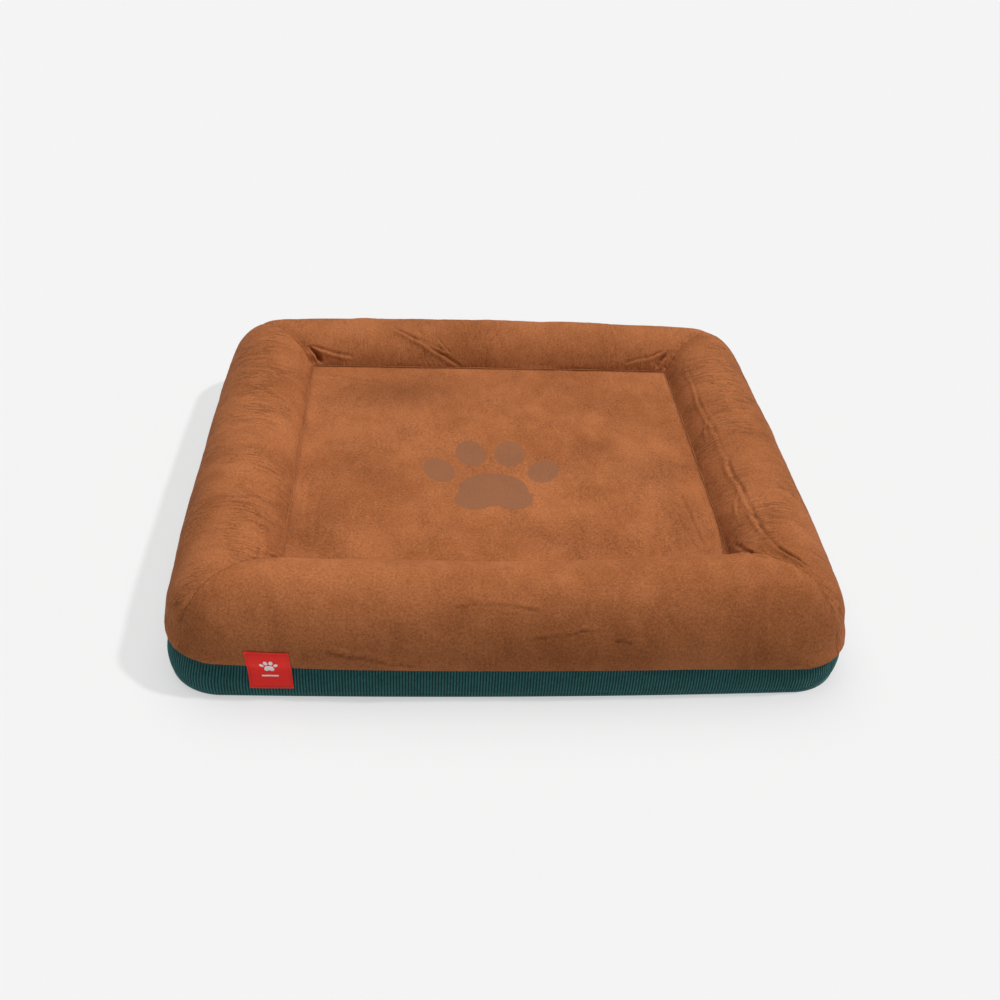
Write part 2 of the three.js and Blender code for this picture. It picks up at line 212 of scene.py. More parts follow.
def lattice_noise(x, y, cell, seed):
    """Smooth noise, about -1 to 1, with features the size of a cell."""
    table = np.random.default_rng(seed).uniform(-1, 1, (64, 64))
    gx, gy = np.asarray(x) / cell, np.asarray(y) / cell
    ix, iy = np.floor(gx).astype(int), np.floor(gy).astype(int)
    fx, fy = gx - ix, gy - iy
    fx, fy = fx * fx * (3 - 2 * fx), fy * fy * (3 - 2 * fy)

    def corner(dx, dy):
        return table[(ix + dx) % 64, (iy + dy) % 64]

    low = corner(0, 0) * (1 - fx) + corner(1, 0) * fx
    high = corner(0, 1) * (1 - fx) + corner(1, 1) * fx
    return low * (1 - fy) + high * fy


def denser(grid, times, axis):
    """A grid of points with a cubic curve through them, and times as many steps along an axis."""
    points = np.moveaxis(grid, axis, 0)
    padded = np.concatenate([2 * points[:1] - points[1:2], points, 2 * points[-1:] - points[-2:-1]])
    place = np.linspace(0, len(points) - 1, (len(points) - 1) * times + 1)
    index = np.minimum(place.astype(int), len(points) - 2)
    t = (place - index).reshape((-1,) + (1,) * (points.ndim - 1))
    a, b, c, d = (padded[index + k] for k in range(4))
    curve = b + 0.5 * t * (c - a + t * (2 * a - 5 * b + 4 * c - d + t * (3 * (b - c) + d - a)))
    return np.moveaxis(curve, 0, axis)


def grid_normals(grid):
    across = np.cross(np.gradient(grid, axis=0), np.gradient(grid, axis=1))
    return across / np.maximum(np.linalg.norm(across, axis=2, keepdims=True), 1e-12)


def grid_faces(columns, rows, wrap_columns=False, wrap_rows=False):
    """Quads over a grid of points numbered column by column."""
    i = np.arange(columns if wrap_columns else columns - 1)
    j = np.arange(rows if wrap_rows else rows - 1)
    i, j = np.meshgrid(i, j, indexing="ij")
    right, above = (i + 1) % columns, (j + 1) % rows
    quads = [i * rows + j, right * rows + j, right * rows + above, i * rows + above]
    return np.stack(quads, -1).reshape(-1, 4)


def rim(grid):
    """The outermost entries of a grid, once round."""
    return np.concatenate([grid[:, 0], grid[-1, 1:], grid[-2::-1, -1], grid[0, -2:0:-1]])


def mesh_piece(name, points, faces, material, uv=None, smooth=True):
    """A new object whose place is in its mesh. uv has one pair for each point."""
    mesh = bpy.data.meshes.new(name)
    corners_of = [list(map(int, face)) for face in faces]
    mesh.from_pydata(np.asarray(points, float).reshape(-1, 3).tolist(), [], corners_of)
    if uv is not None:
        corners = np.zeros(len(mesh.loops), int)
        mesh.loops.foreach_get("vertex_index", corners)
        layer = mesh.uv_layers.new(name="cloth")
        layer.data.foreach_set("uv", np.asarray(uv, float).reshape(-1, 2)[corners].ravel())
    mesh.polygons.foreach_set("use_smooth", [smooth] * len(mesh.polygons))
    mesh.update()
    piece = bpy.data.objects.new(name, mesh)
    bpy.context.scene.collection.objects.link(piece)
    if material is not None:
        mesh.materials.append(material)
    return piece


def end_caps(loops, sides, base=0):
    """Flat faces over the first and the last of a row of closed loops, numbered from a base."""
    last = base + (loops - 1) * sides
    return [list(range(base, base + sides))[::-1], list(range(last, last + sides))]


def closed_strip(name, loops, material, uv):
    """A closed solid from a row of closed loops of points, with a flat cap at each end."""
    columns, rows = loops.shape[:2]
    faces = grid_faces(columns, rows, wrap_rows=True).tolist() + end_caps(columns, rows)
    return mesh_piece(name, loops, faces, material, uv)


def full_turn(sides):
    """Evenly spaced angles, once round."""
    return np.linspace(0, 2 * math.pi, sides, endpoint=False)


def tube_mesh(path, level, radius, turn, closed=False, flatten=1.0):
    """Points and faces of a round tube along a path, with a point at each angle of turn. Each
    ring starts square to the path and to the level direction; flatten narrows it the other way."""
    ahead = np.roll(path, -1, 0) - np.roll(path, 1, 0)
    if not closed:
        ahead[0], ahead[-1] = path[1] - path[0], path[-1] - path[-2]
    ahead /= np.linalg.norm(ahead, axis=1, keepdims=True)
    aside = np.cross(ahead, level)
    aside /= np.linalg.norm(aside, axis=1, keepdims=True)
    over = np.cross(aside, ahead)
    wide = np.cos(turn)[:, None] * aside[:, None]
    tall = flatten * np.sin(turn)[:, None] * over[:, None]
    points = path[:, None] + radius * (wide + tall)
    faces = grid_faces(len(path), len(turn), closed, True)[:, ::-1].tolist()
    if not closed:
        faces += [cap[::-1] for cap in end_caps(len(path), len(turn))]
    return points, faces


# ---- Materials ------------------------------------------------------------------------------


def node(tree, kind, inputs=None, **settings):
    """A node with its settings, and each input linked to a socket or set to a value."""
    made = tree.nodes.new(kind)
    for name, value in settings.items():
        setattr(made, name, value)
    for name, value in (inputs or {}).items():
        if isinstance(value, bpy.types.NodeSocket):
            tree.links.new(value, made.inputs[name])
        else:
            made.inputs[name].default_value = value
    return made


def blank_material(name, roughness, metallic=0.0, **constants):
    """A material, its node tree and its shader."""
    material = bpy.data.materials.new(name)
    material.use_nodes = True
    tree = material.node_tree
    shader = tree.nodes["Principled BSDF"]
    shader.inputs["Roughness"].default_value = roughness
    shader.inputs["Metallic"].default_value = metallic
    for socket, value in constants.items():
        shader.inputs[socket.replace("_", " ")].default_value = value
    return material, tree, shader


def noise(tree, place, scale, detail=3.0, roughness=0.55, distortion=0.0, stretch=(1, 1, 1), turn=0.0):
    """Noise of a scale, drawn out where a part of stretch is under 1."""
    moved = node(
        tree,
        "ShaderNodeMapping",
        {"Vector": place, "Scale": stretch, "Rotation": (0, 0, turn)},
    ).outputs["Vector"]
    return node(
        tree,
        "ShaderNodeTexNoise",
        {
            "Vector": moved,
            "Scale": scale,
            "Detail": detail,
            "Roughness": roughness,
            "Distortion": distortion,
        },
    ).outputs["Fac"]


def maths(tree, operation, a, b=0.0, clamp=False):
    made = node(tree, "ShaderNodeMath", {0: a, 1: b}, operation=operation, use_clamp=clamp)
    return made.outputs["Value"]


def remap(tree, value, low, high, to_low=0.0, to_high=1.0):
    made = node(
        tree,
        "ShaderNodeMapRange",
        {"Value": value, "From Min": low, "From Max": high, "To Min": to_low, "To Max": to_high},
        interpolation_type="SMOOTHSTEP",
    )
    return made.outputs["Result"]


def mix(tree, factor, a, b, kind="MIX"):
    made = node(tree, "ShaderNodeMix", data_type="RGBA", blend_type=kind)
    for index, value in ((0, factor), (6, a), (7, b)):
        if isinstance(value, bpy.types.NodeSocket):
            tree.links.new(value, made.inputs[index])
        else:
            made.inputs[index].default_value = (*value, 1) if isinstance(value, tuple) else value
    return made.outputs[2]


def bump(tree, shader, *layers):
    """Stacks (height, distance in metres, strength) layers of bump on the shader."""
    normal = None
    for height, distance, strength in layers:
        inputs = {"Height": height, "Distance": distance, "Strength": strength}
        if normal is not None:
            inputs["Normal"] = normal
        normal = node(tree, "ShaderNodeBump", inputs).outputs["Normal"]
    tree.links.new(normal, shader.inputs["Normal"])


def cloth_place(tree):
    return node(tree, "ShaderNodeUVMap", uv_map="cloth").outputs["UV"]


def object_place(tree):
    return node(tree, "ShaderNodeTexCoord").outputs["Object"]


def axis_of(tree, place, axis):
    """One coordinate of a place."""
    return node(tree, "ShaderNodeSeparateXYZ", {"Vector": place}).outputs[axis]


def ellipse_distance(tree, place, middle, half, turn=0.0):
    """How far a place is from an ellipse's middle, with 1 at its edge."""
    inner = node(
        tree,
        "ShaderNodeMapping",
        {
            "Vector": place,
            "Location": (*middle, 0),
            "Rotation": (0, 0, math.radians(turn)),
            "Scale": (*half, 1),
        },
        vector_type="TEXTURE",
    ).outputs["Vector"]
    return node(tree, "ShaderNodeVectorMath", {0: inner}, operation="LENGTH").outputs["Value"]


# A paw print of one broad pad and four toes: centre, half sizes and turn of each ellipse, on a
# print one unit across.
PAW_PADS = [
    ((0.00, -0.17), (0.24, 0.19), 0),
    ((-0.13, -0.27), (0.14, 0.13), 20),
    ((0.13, -0.27), (0.14, 0.13), -20),
    ((-0.37, 0.06), (0.105, 0.15), 24),
    ((-0.14, 0.27), (0.11, 0.165), 8),
    ((0.14, 0.27), (0.11, 0.165), -8),
    ((0.37, 0.06), (0.105, 0.15), -24),
]


def paw_mask(tree, place, centre, size, edge):
    """1 inside a paw print of this size round a centre, 0 outside."""
    shift = (-centre[0] / size, -centre[1] / size, 0)
    scaled = node(
        tree,
        "ShaderNodeMapping",
        {"Vector": place, "Location": shift, "Scale": (1 / size, 1 / size, 0)},
    ).outputs["Vector"]
    mask = None
    for middle, half, turn in PAW_PADS:
        length = ellipse_distance(tree, scaled, middle, half, turn)
        pad = remap(tree, length, 1 - edge, 1 + edge, 1.0, 0.0)
        mask = pad if mask is None else maths(tree, "MAXIMUM", mask, pad)
    return mask


SUEDE_LIGHT = (0.402, 0.139, 0.051)
SUEDE_DARK = (0.300, 0.098, 0.033)
EMBLEM_MIDDLE = (-13 * MM, -54 * MM)
EMBLEM_SIZE = 190 * MM
EMBLEM_COLOUR = (0.272, 0.112, 0.055)


def tinted(tree, colour, tone):
    """A colour made lighter or darker by a tone round 1."""
    grey = node(tree, "ShaderNodeCombineColor", {"Red": tone, "Green": tone, "Blue": tone})
    return mix(tree, 1.0, colour, grey.outputs["Color"], "MULTIPLY")


def product(tree, first, *others):
    """All the values multiplied together."""
    for other in others:
        first = maths(tree, "MULTIPLY", first, other)
    return first


# Patches of painted light and painted shade on the panel, over its hollows, humps and creases: centre and
# half sizes in millimetres, and tone.
PAINTED_PANEL_SHADING = [
    ((-165, 152), (100, 40), 0.78),
    ((-60, 180), (120, 30), 0.94),
    ((-250, -170), (46, 60), 0.84),
    ((205, -35), (60, 40), 0.87),
    ((135, 20), (34, 22), 0.88),
    ((236, -165), (44, 60), 0.88),
    ((-205, 10), (44, 90), 0.95),
    ((40, 60), (150, 60), 1.06),
    ((60, -110), (170, 50), 1.07),
    ((-110, -150), (120, 46), 1.05),
]


def painted_panel_tone(tree, place):
    """The panel's patches of painted light and painted shade, as one tone round 1."""
    tone = 1.0
    for (x, y), (wide, deep), shade in PAINTED_PANEL_SHADING:
        length = ellipse_distance(tree, place, (x * MM, y * MM), (wide * MM, deep * MM))
        tone = product(tree, tone, remap(tree, length, 0.2, 1.5, shade, 1.0))
    return tone


def suede(name, crinkle_stretch, crinkle_depth_and_shade, hem_painted_shade=1.0, emblem=False):
    """Short brushed pile that lies light or dark, with fine crinkles drawn out across the cloth and painted
    shade in their folds.
    A bolster is painted darker towards its hem, as painted shade on its lower slopes."""
    material, tree, shader = blank_material(
        name,
        0.94,
        Specular_IOR_Level=0.08,
        Sheen_Weight=0.05,
        Sheen_Roughness=0.4,
        Sheen_Tint=(0.95, 0.55, 0.32, 1),
    )
    place = cloth_place(tree)
    patches = noise(tree, place, 8, 3, 0.55, 0.6)
    smears = noise(tree, place, 40, 3, 0.6, 0.8, (1, 0.6, 1), 0.3)
    crinkle = noise(tree, place, 200, 2, 0.5, 0.7, crinkle_stretch)
    crinkled = remap(tree, noise(tree, place, 13, 2), 0.40, 0.62, 0.25, 1.0)
    grain = noise(tree, place, 330, 5, 0.8, 0.4)
    fibres = noise(tree, place, 1100, 2, 0.75, 0.3)

    lie = maths(tree, "ADD", product(tree, patches, 0.65), product(tree, smears, 0.35))
    colour = mix(tree, remap(tree, lie, 0.34, 0.66), SUEDE_DARK, SUEDE_LIGHT)
    away = maths(tree, "ABSOLUTE", maths(tree, "SUBTRACT", crinkle, 0.5))
    # fold_and_shade is 1 in the thin folds: it shapes their bump and darkens their colour as painted shade.
    fold_and_shade = product(tree, remap(tree, away, 0.0, 0.06, 1.0, 0.0), crinkled)  # 1 in the thin folds
    up_from_hem = axis_of(tree, place, "Y")
    tone = product(
        tree,
        remap(tree, fold_and_shade, 0.0, 1.0, 1 + 0.02 * crinkle_depth_and_shade, 1 - 0.26 * crinkle_depth_and_shade),
        remap(tree, grain, 0.30, 0.70, 0.72, 1.27),
        remap(tree, fibres, 0.25, 0.75, 0.85, 1.14),
        # Painted shade: darker towards the hem, on the bolsters' lower slopes.
        remap(tree, up_from_hem, 50 * MM, 125 * MM, hem_painted_shade, 1.0),
    )
    if emblem:
        # Painted light and painted shade in patches over the panel.
        tone = product(tree, tone, painted_panel_tone(tree, place))
        mask = paw_mask(tree, place, EMBLEM_MIDDLE, EMBLEM_SIZE, 0.015)
        colour = mix(tree, product(tree, mask, 0.94), colour, EMBLEM_COLOUR)
        calm = maths(tree, "SUBTRACT", 1.0, product(tree, mask, 0.75))
        tone = maths(tree, "ADD", 1.0, product(tree, maths(tree, "SUBTRACT", tone, 1.0), calm))
    tree.links.new(tinted(tree, colour, tone), shader.inputs["Base Color"])
    layers = (
        (smears, 1.2 * MM, 0.3),
        (maths(tree, "SUBTRACT", 1.0, fold_and_shade), 0.6 * MM, 0.7 * crinkle_depth_and_shade),
        (grain, 0.5 * MM, 0.7),
        (fibres, 0.3 * MM, 0.5),
    )
    bump(tree, shader, *layers)
    return material


TEAL_TOP = (0.025, 0.126, 0.124)
TEAL_PAINTED_VALLEY_SHADE = (0.006, 0.034, 0.035)


def corduroy(name):
    """Upright ribs with a slightly lighter, worn crown, and painted shade in the valleys between them."""
    material, tree, shader = blank_material(
        name,
        0.9,
        Specular_IOR_Level=0.2,
        Sheen_Weight=0.25,
        Sheen_Roughness=0.4,
        Sheen_Tint=(0.45, 0.8, 0.8, 1),
    )
    place = cloth_place(tree)
    phase = maths(tree, "MULTIPLY", axis_of(tree, place, "X"), 2 * math.pi / RIB_PITCH)
    rib = maths(tree, "ADD", 0.5, product(tree, maths(tree, "COSINE", phase), 0.5))
    wear = noise(tree, place, 60, 4, 0.6, 0.5)
    pile = noise(tree, place, 500, 3, 0.65, 0.3, (1, 0.45, 1))
    height = product(tree, rib, remap(tree, wear, 0.3, 0.7, 0.7, 1.0))
    # Painted shade: the colour darkens from each rib's crown into the valley beside it.
    colour = mix(tree, remap(tree, height, 0.1, 0.85), TEAL_PAINTED_VALLEY_SHADE, TEAL_TOP)
    tone = remap(tree, pile, 0.25, 0.75, 0.72, 1.25)
    tree.links.new(tinted(tree, colour, tone), shader.inputs["Base Color"])
    bump(tree, shader, (pile, 0.5 * MM, 0.6))
    return material


LABEL_RED = (0.98, 0.022, 0.014)
LABEL_WHITE = (0.92, 0.90, 0.87)
BAR_DROP = 0.72  # how far the bar lies below the paw print's middle, in print sizes


def label_cloth(name, middle, size):
    """Woven red label with a white paw print and a plain bar beneath it."""
    material, tree, shader = blank_material(
        name,
        0.75,
        Specular_IOR_Level=0.3,
        Sheen_Weight=0.15,
        Sheen_Roughness=0.35,
        Sheen_Tint=(1.0, 0.5, 0.45, 1),
    )
    place = cloth_place(tree)
    weave = node(
        tree,
        "ShaderNodeTexBrick",
        {
            "Vector": place,
            "Scale": 1.0,
            "Color1": (0.92, 0.92, 0.92, 1),
            "Color2": (1, 1, 1, 1),
            "Mortar": (0.72, 0.72, 0.72, 1),
            "Mortar Size": 0.00006,
            "Brick Width": 0.0009,
            "Row Height": 0.00032,
        },
    )
    fuzz = noise(tree, place, 900, 2)
    mask = paw_mask(tree, place, middle, size, 0.05)
    bar_middle = (middle[0], middle[1] - BAR_DROP * size)
    off_x, off_y = (
        maths(tree, "ABSOLUTE", maths(tree, "SUBTRACT", axis_of(tree, place, axis), centre))
        for axis, centre in zip("XY", bar_middle)
    )
    bar = product(
        tree,
        remap(tree, off_x, 9 * MM, 9.6 * MM, 1.0, 0.0),
        remap(tree, off_y, 0.8 * MM, 1.2 * MM, 1.0, 0.0),
    )
    mark = maths(tree, "MAXIMUM", mask, bar)
    colour = mix(tree, mark, LABEL_RED, LABEL_WHITE)
    colour = mix(tree, 1.0, colour, weave.outputs["Color"], "MULTIPLY")
    tree.links.new(colour, shader.inputs["Base Color"])
    bump(tree, shader, (weave.outputs["Color"], 0.15 * MM, 0.5), (fuzz, 0.2 * MM, 0.3))
    return material


def plain_cloth(name, colour, thread=0.9 * MM, roughness=0.85, sheen=0.1):
    """A plain weave of warp over weft."""
    material, tree, shader = blank_material(
        name, roughness, Specular_IOR_Level=0.25, Sheen_Weight=sheen, Sheen_Roughness=0.4
    )
    place = object_place(tree)
    waves = []
    for axis in "XY":
        phase = maths(tree, "MULTIPLY", axis_of(tree, place, axis), math.pi / thread)
        waves.append(maths(tree, "ABSOLUTE", maths(tree, "SINE", phase)))
    weave = product(tree, *waves)
    dirt = noise(tree, place, 35, 4)
    tone = product(tree, remap(tree, weave, 0, 0.8, 0.55, 1.1), remap(tree, dirt, 0.3, 0.7, 0.88, 1.1))
    tree.links.new(tinted(tree, colour, tone), shader.inputs["Base Color"])
    bump(tree, shader, (weave, 0.3 * MM, 0.6))
    return material


def foam(name, colour, cell):
    """Cut open-cell foam."""
    material, tree, shader = blank_material(name, 0.95, Specular_IOR_Level=0.2)
    place = object_place(tree)
    cells = node(tree, "ShaderNodeTexVoronoi", {"Vector": place, "Scale": 1 / cell}).outputs["Distance"]
    stain = noise(tree, place, 18, 3)
    tone = product(tree, remap(tree, cells, 0.1, 0.6, 1.0, 0.72), remap(tree, stain, 0.3, 0.7, 0.92, 1.05))
    tree.links.new(tinted(tree, colour, tone), shader.inputs["Base Color"])
    bump(tree, shader, (cells, 0.6 * MM, 0.5))
    return material


def metal(name, colour, roughness):
    """Plated die casting with fine brushing and rubbed patches."""
    material, tree, shader = blank_material(name, roughness, 1.0)
    place = object_place(tree)
    brushing = noise(tree, place, 900, 3, 0.6, 0.2, (0.15, 1, 1))
    rubbed = noise(tree, place, 180, 4)
    lighter = tuple(min(1.0, 1.5 * part) for part in colour)
    tree.links.new(mix(tree, remap(tree, rubbed, 0.45, 0.7), colour, lighter), shader.inputs["Base Color"])
    rough = remap(tree, brushing, 0.3, 0.7, roughness - 0.08, roughness + 0.12)
    tree.links.new(rough, shader.inputs["Roughness"])
    bump(tree, shader, (brushing, 0.05 * MM, 0.3))
    return material


def nylon(name, colour, roughness=0.45):
    """Moulded or extruded nylon with a faint sheen."""
    material, tree, shader = blank_material(name, roughness, Specular_IOR_Level=0.5)
    place = object_place(tree)
    dust = noise(tree, place, 400, 3)
    darker = tuple(0.6 * part for part in colour)
    tree.links.new(mix(tree, remap(tree, dust, 0.35, 0.7), darker, colour), shader.inputs["Base Color"])
    bump(tree, shader, (dust, 0.05 * MM, 0.3))
    return material


# ---- Bolsters -------------------------------------------------------------------------------

SECTION_ROWS = 44
SWELL_LIMIT = 14 * MM
SWELL_FRAMES = 16
CLOTH_SETTINGS = {
    "quality": 6,
    "mass": 0.002,
    "tension_stiffness": 15,
    "compression_stiffness": 5,
    "shear_stiffness": 5,
    "bending_stiffness": 0.05,
    "use_pressure": True,
    "uniform_pressure_force": 100,
    "vertex_group_mass": "held",
    "vertex_group_shrink": "loose",
    "shrink_min": 0.0,
    "shrink_max": -0.05,
}

# Creases pressed into the covers: side, points as (along, up) in millimetres, depth, width and
# the height of the lip beside it. Along is measured from the side's middle, anticlockwise; up is
# measured over the cloth from the outer seam.
CREASES = [
    ("right", [(200, 161), (158, 160), (76, 162), (30, 157), (-3, 158), (-45, 155)], 1.6, 4.0, 1.2),
    ("right", [(-45, 155), (-76, 156), (-148, 150), (-209, 147), (-240, 140)], 3.2, 5.0, 1.8),
    ("right", [(-240, 140), (-253, 136), (-273, 122), (-292, 106)], 4.2, 5.0, 2.4),
    ("right", [(-212, 182), (-240, 172), (-262, 158), (-280, 140)], 3.0, 4.4, 1.8),
    ("right", [(60, 158), (30, 168), (6, 170)], 1.4, 3.4, 1.0),
    ("right", [(-120, 152), (-140, 162), (-166, 166)], 1.4, 3.4, 1.0),
    ("back", [(150, 132), (122, 150), (95, 166), (72, 180), (49, 194)], 2.8, 5.0, 2.0),
    ("back", [(112, 152), (90, 163), (69, 172)], 2.0, 4.0, 1.4),
    ("back", [(84, 150), (76, 160), (62, 176)], 1.2, 3.0, 1.0),
    ("back", [(280, 168), (270, 178), (262, 190)], 6.5, 8.0, 0.3),
    ("back", [(276, 166), (250, 175), (214, 181)], 2.2, 4.4, 1.4),
    ("back", [(-276, 168), (-268, 178), (-260, 190)], 6.0, 8.0, 0.3),
    ("back", [(-268, 166), (-245, 176), (-212, 183)], 2.0, 4.4, 1.2),
    ("front", [(-70, 76), (-45, 81), (-10, 80), (22, 75)], 2.4, 3.4, 2.2),
    ("front", [(14, 42), (50, 47), (96, 51)], 1.8, 3.0, 1.2),
    ("front", [(-213, 26), (-159, 17), (-97, 9)], 3.6, 3.6, 2.0),
    ("front", [(110, 38), (142, 36)], 1.6, 2.8, 1.0),
    ("front", [(262, 176), (286, 158), (300, 140)], 2.8, 5.0, 1.4),
    ("front", [(236, 186), (258, 172), (272, 154)], 1.6, 3.4, 1.0),
    ("front", [(248, 190), (270, 178), (288, 164)], 1.6, 3.4, 1.0),
    ("left", [(150, 148), (190, 156), (228, 162), (254, 164)], 1.8, 6.0, 0.8),
]

# Insets and heights of each bolster's back and underside, from the panel to the hem.
UNDERSIDE = [
    (BOLSTER_WIDTH - 3 * MM, SLEEP_HEIGHT - 8 * MM),
    (BOLSTER_WIDTH - 3 * MM, SEAM_HEIGHT + 2 * MM),
    (BOLSTER_WIDTH - 6 * MM, SEAM_HEIGHT),
    (BOLSTER_WIDTH / 2, SEAM_HEIGHT),
    (12 * MM, SEAM_HEIGHT + 0.4 * MM),
    (2.4 * MM, SEAM_HEIGHT + 0.4 * MM),
]

# The covers' soft lumps and ripples: height and size in millimetres.
LUMPS = [(0.9, 70), (0.6, 28), (0.25, 9)]

# How deep, in millimetres, the fine wrinkles are that run across each bolster.
WRINKLES = {"front": 0.10, "right": 0.26, "back": 0.18, "left": 0.30}


def bolster_ring(rows):
    """The four covers as one net of points, column by column. Also the first column of each side
    and how many columns it has."""
    section, _ = bolster_section(rows)
    outer = Outline(0)
    tighter = (CORNER_RADIUS - HEM_CORNER) * smooth_step(WIDEST_HEIGHT, SEAM_HEIGHT, section[:, 1])
    tighter *= np.arange(rows) < rows / 2
    lines = [Outline(inset, CORNER_RADIUS - less) for inset, less in zip(section[:, 0], tighter)]
    steps = [round((outer.mitres[k] - outer.side(k, -1)) / CLOTH_STEP) for k in range(4)]
    sides = []
    for number, count in enumerate(steps):
        fraction = np.linspace(-1, 1, count, endpoint=False)
        hang = sag(SIDES[number], fraction)
        fuller = rise(SIDES[number], fraction)
        rows_of_side = []
        for line, (inset, z) in zip(lines, section):
            plan, outward = line.at(line.side(number, fraction))
            low = smooth_step(WIDEST_HEIGHT + 14 * MM, SEAM_HEIGHT, z)
            below_crown = smooth_step(WIDEST_HEIGHT + 40 * MM, SEAM_HEIGHT, z)
            off_seam = smooth_step(BOLSTER_WIDTH, BOLSTER_WIDTH - 18 * MM, inset)
            crown = smooth_step(WIDEST_HEIGHT, SLEEP_HEIGHT + 20 * MM, z) * off_seam
            # Cloth that sags or is fuller also bulges outwards, and a high crown leans inwards.
            push = below_crown * (0.3 * hang + 0.35 * fuller) - 0.6 * crown * fuller
            plan = plan + outward * push[:, None]
            rows_of_side.append(np.column_stack([plan, z - low * hang + crown * fuller]))
        sides.append(np.stack(rows_of_side, 1))
    starts = [0, *np.cumsum(steps)[:-1].tolist()]
    return bowed(np.concatenate(sides)), starts, steps


def pull_in_mitres(ring, starts, up):
    """Draws the covers in along the mitre seams, most of all towards the inner corners."""
    normals = grid_normals(np.concatenate([ring, ring[:1]]))[:-1]
    share = up / up[-1]
    depth = (1.0 + 0.8 * smooth_step(0.1, 0.4, share) + 3.6 * smooth_step(0.74, 0.95, share)) * MM
    depth = depth * smooth_step(0, 0.06, share) * smooth_step(1.0, 0.97, share)
    for start in starts:
        for offset in range(-4, 5):
            column = (start + offset) % len(ring)
            fade = math.exp(-((offset / 1.5) ** 2))
            ring[column] -= normals[column] * (depth * fade)[:, None]
    return ring


def swollen(ring, pinned, slack):
    """The ring's points after its cloth has been blown up by the stuffing."""
    columns, rows = ring.shape[:2]
    piece = mesh_piece("swelling", ring, grid_faces(columns, rows, wrap_columns=True), None)
    held = piece.vertex_groups.new(name="held")
    held.add([int(i) for i in np.flatnonzero(pinned.ravel())], 1.0, "REPLACE")
    loose = piece.vertex_groups.new(name="loose")
    for index, weight in enumerate(slack.ravel()):
        loose.add([index], float(weight), "REPLACE")
    cloth = piece.modifiers.new("cloth", "CLOTH")
    for name, value in CLOTH_SETTINGS.items():
        setattr(cloth.settings, name, value)
    cloth.settings.effector_weights.gravity = 0
    cloth.collision_settings.use_collision = False
    scene = bpy.context.scene
    for step in range(SWELL_FRAMES):
        scene.frame_set(step + 1)
    graph = bpy.context.evaluated_depsgraph_get()
    points = np.zeros(columns * rows * 3)
    piece.evaluated_get(graph).data.vertices.foreach_get("co", points)
    scene.frame_set(1)
    bpy.data.objects.remove(piece)
    moved = points.reshape(ring.shape) - ring
    far = np.linalg.norm(moved, axis=2, keepdims=True)
    return ring + moved * np.minimum(1, SWELL_LIMIT / np.maximum(far, 1e-9))


def looseness(columns, starts, steps, share):
    """How loose the cloth is at each point, 0 to 1: most near the mitres, towards the panel.
    share is each row's share of the way up from the hem."""
    slack = np.full((columns, len(share)), 0.35)
    for start, count in zip(starts, steps):
        away = np.abs(np.arange(columns) - (start + count / 2))
        away = np.minimum(away, columns - away)
        near_mitre = smooth_step(0.55, 0.95, away / (count / 2)) * (away <= count / 2)
        slack += near_mitre[:, None] * smooth_step(0.5, 0.9, share)[None] * 0.6
    return np.clip(slack, 0, 1)


def crease_depth(along, up, points, depth, width, lip):
    """How far a crease draws the cloth in: a sharp groove with a raised lip on its upper side."""
    route = np.array(points, float) * MM
    nearest = np.full(along.shape, 1e9)
    above = np.zeros(along.shape)
    reach = np.zeros(along.shape)
    gone = distance_along(route)
    for k in range(len(route) - 1):
        step = route[k + 1] - route[k]
        size = np.hypot(*step)
        offset_x, offset_y = along - route[k][0], up - route[k][1]
        part = np.clip((offset_x * step[0] + offset_y * step[1]) / size**2, 0, 1)
        away_x, away_y = offset_x - part * step[0], offset_y - part * step[1]
        away = np.hypot(away_x, away_y)
        side = np.sign(offset_y * step[0] - offset_x * step[1]) * np.sign(step[0])
        closer = away < nearest
        above = np.where(closer, side, above)
        reach = np.where(closer, (gone[k] + part * size) / gone[-1], reach)
        nearest = np.where(closer, away, nearest)
    fade = np.minimum(1, 5 * np.minimum(reach + 0.06, 1.06 - reach)) ** 0.7
    groove = depth * np.exp(-((nearest / (0.34 * width * MM)) ** 1.3))
    ridge = lip * np.exp(-(((nearest - 0.9 * width * MM) / (0.7 * width * MM)) ** 2))
    return fade * MM * (groove - ridge * np.where(above > 0, 1.0, 0.35))


def pucker(phase, near, reach):
    """Gathers beside a seam, -1 to 1: one for each whole phase, fading with the distance from it."""
    return np.sin(2 * math.pi * phase) * np.exp(-near / reach)


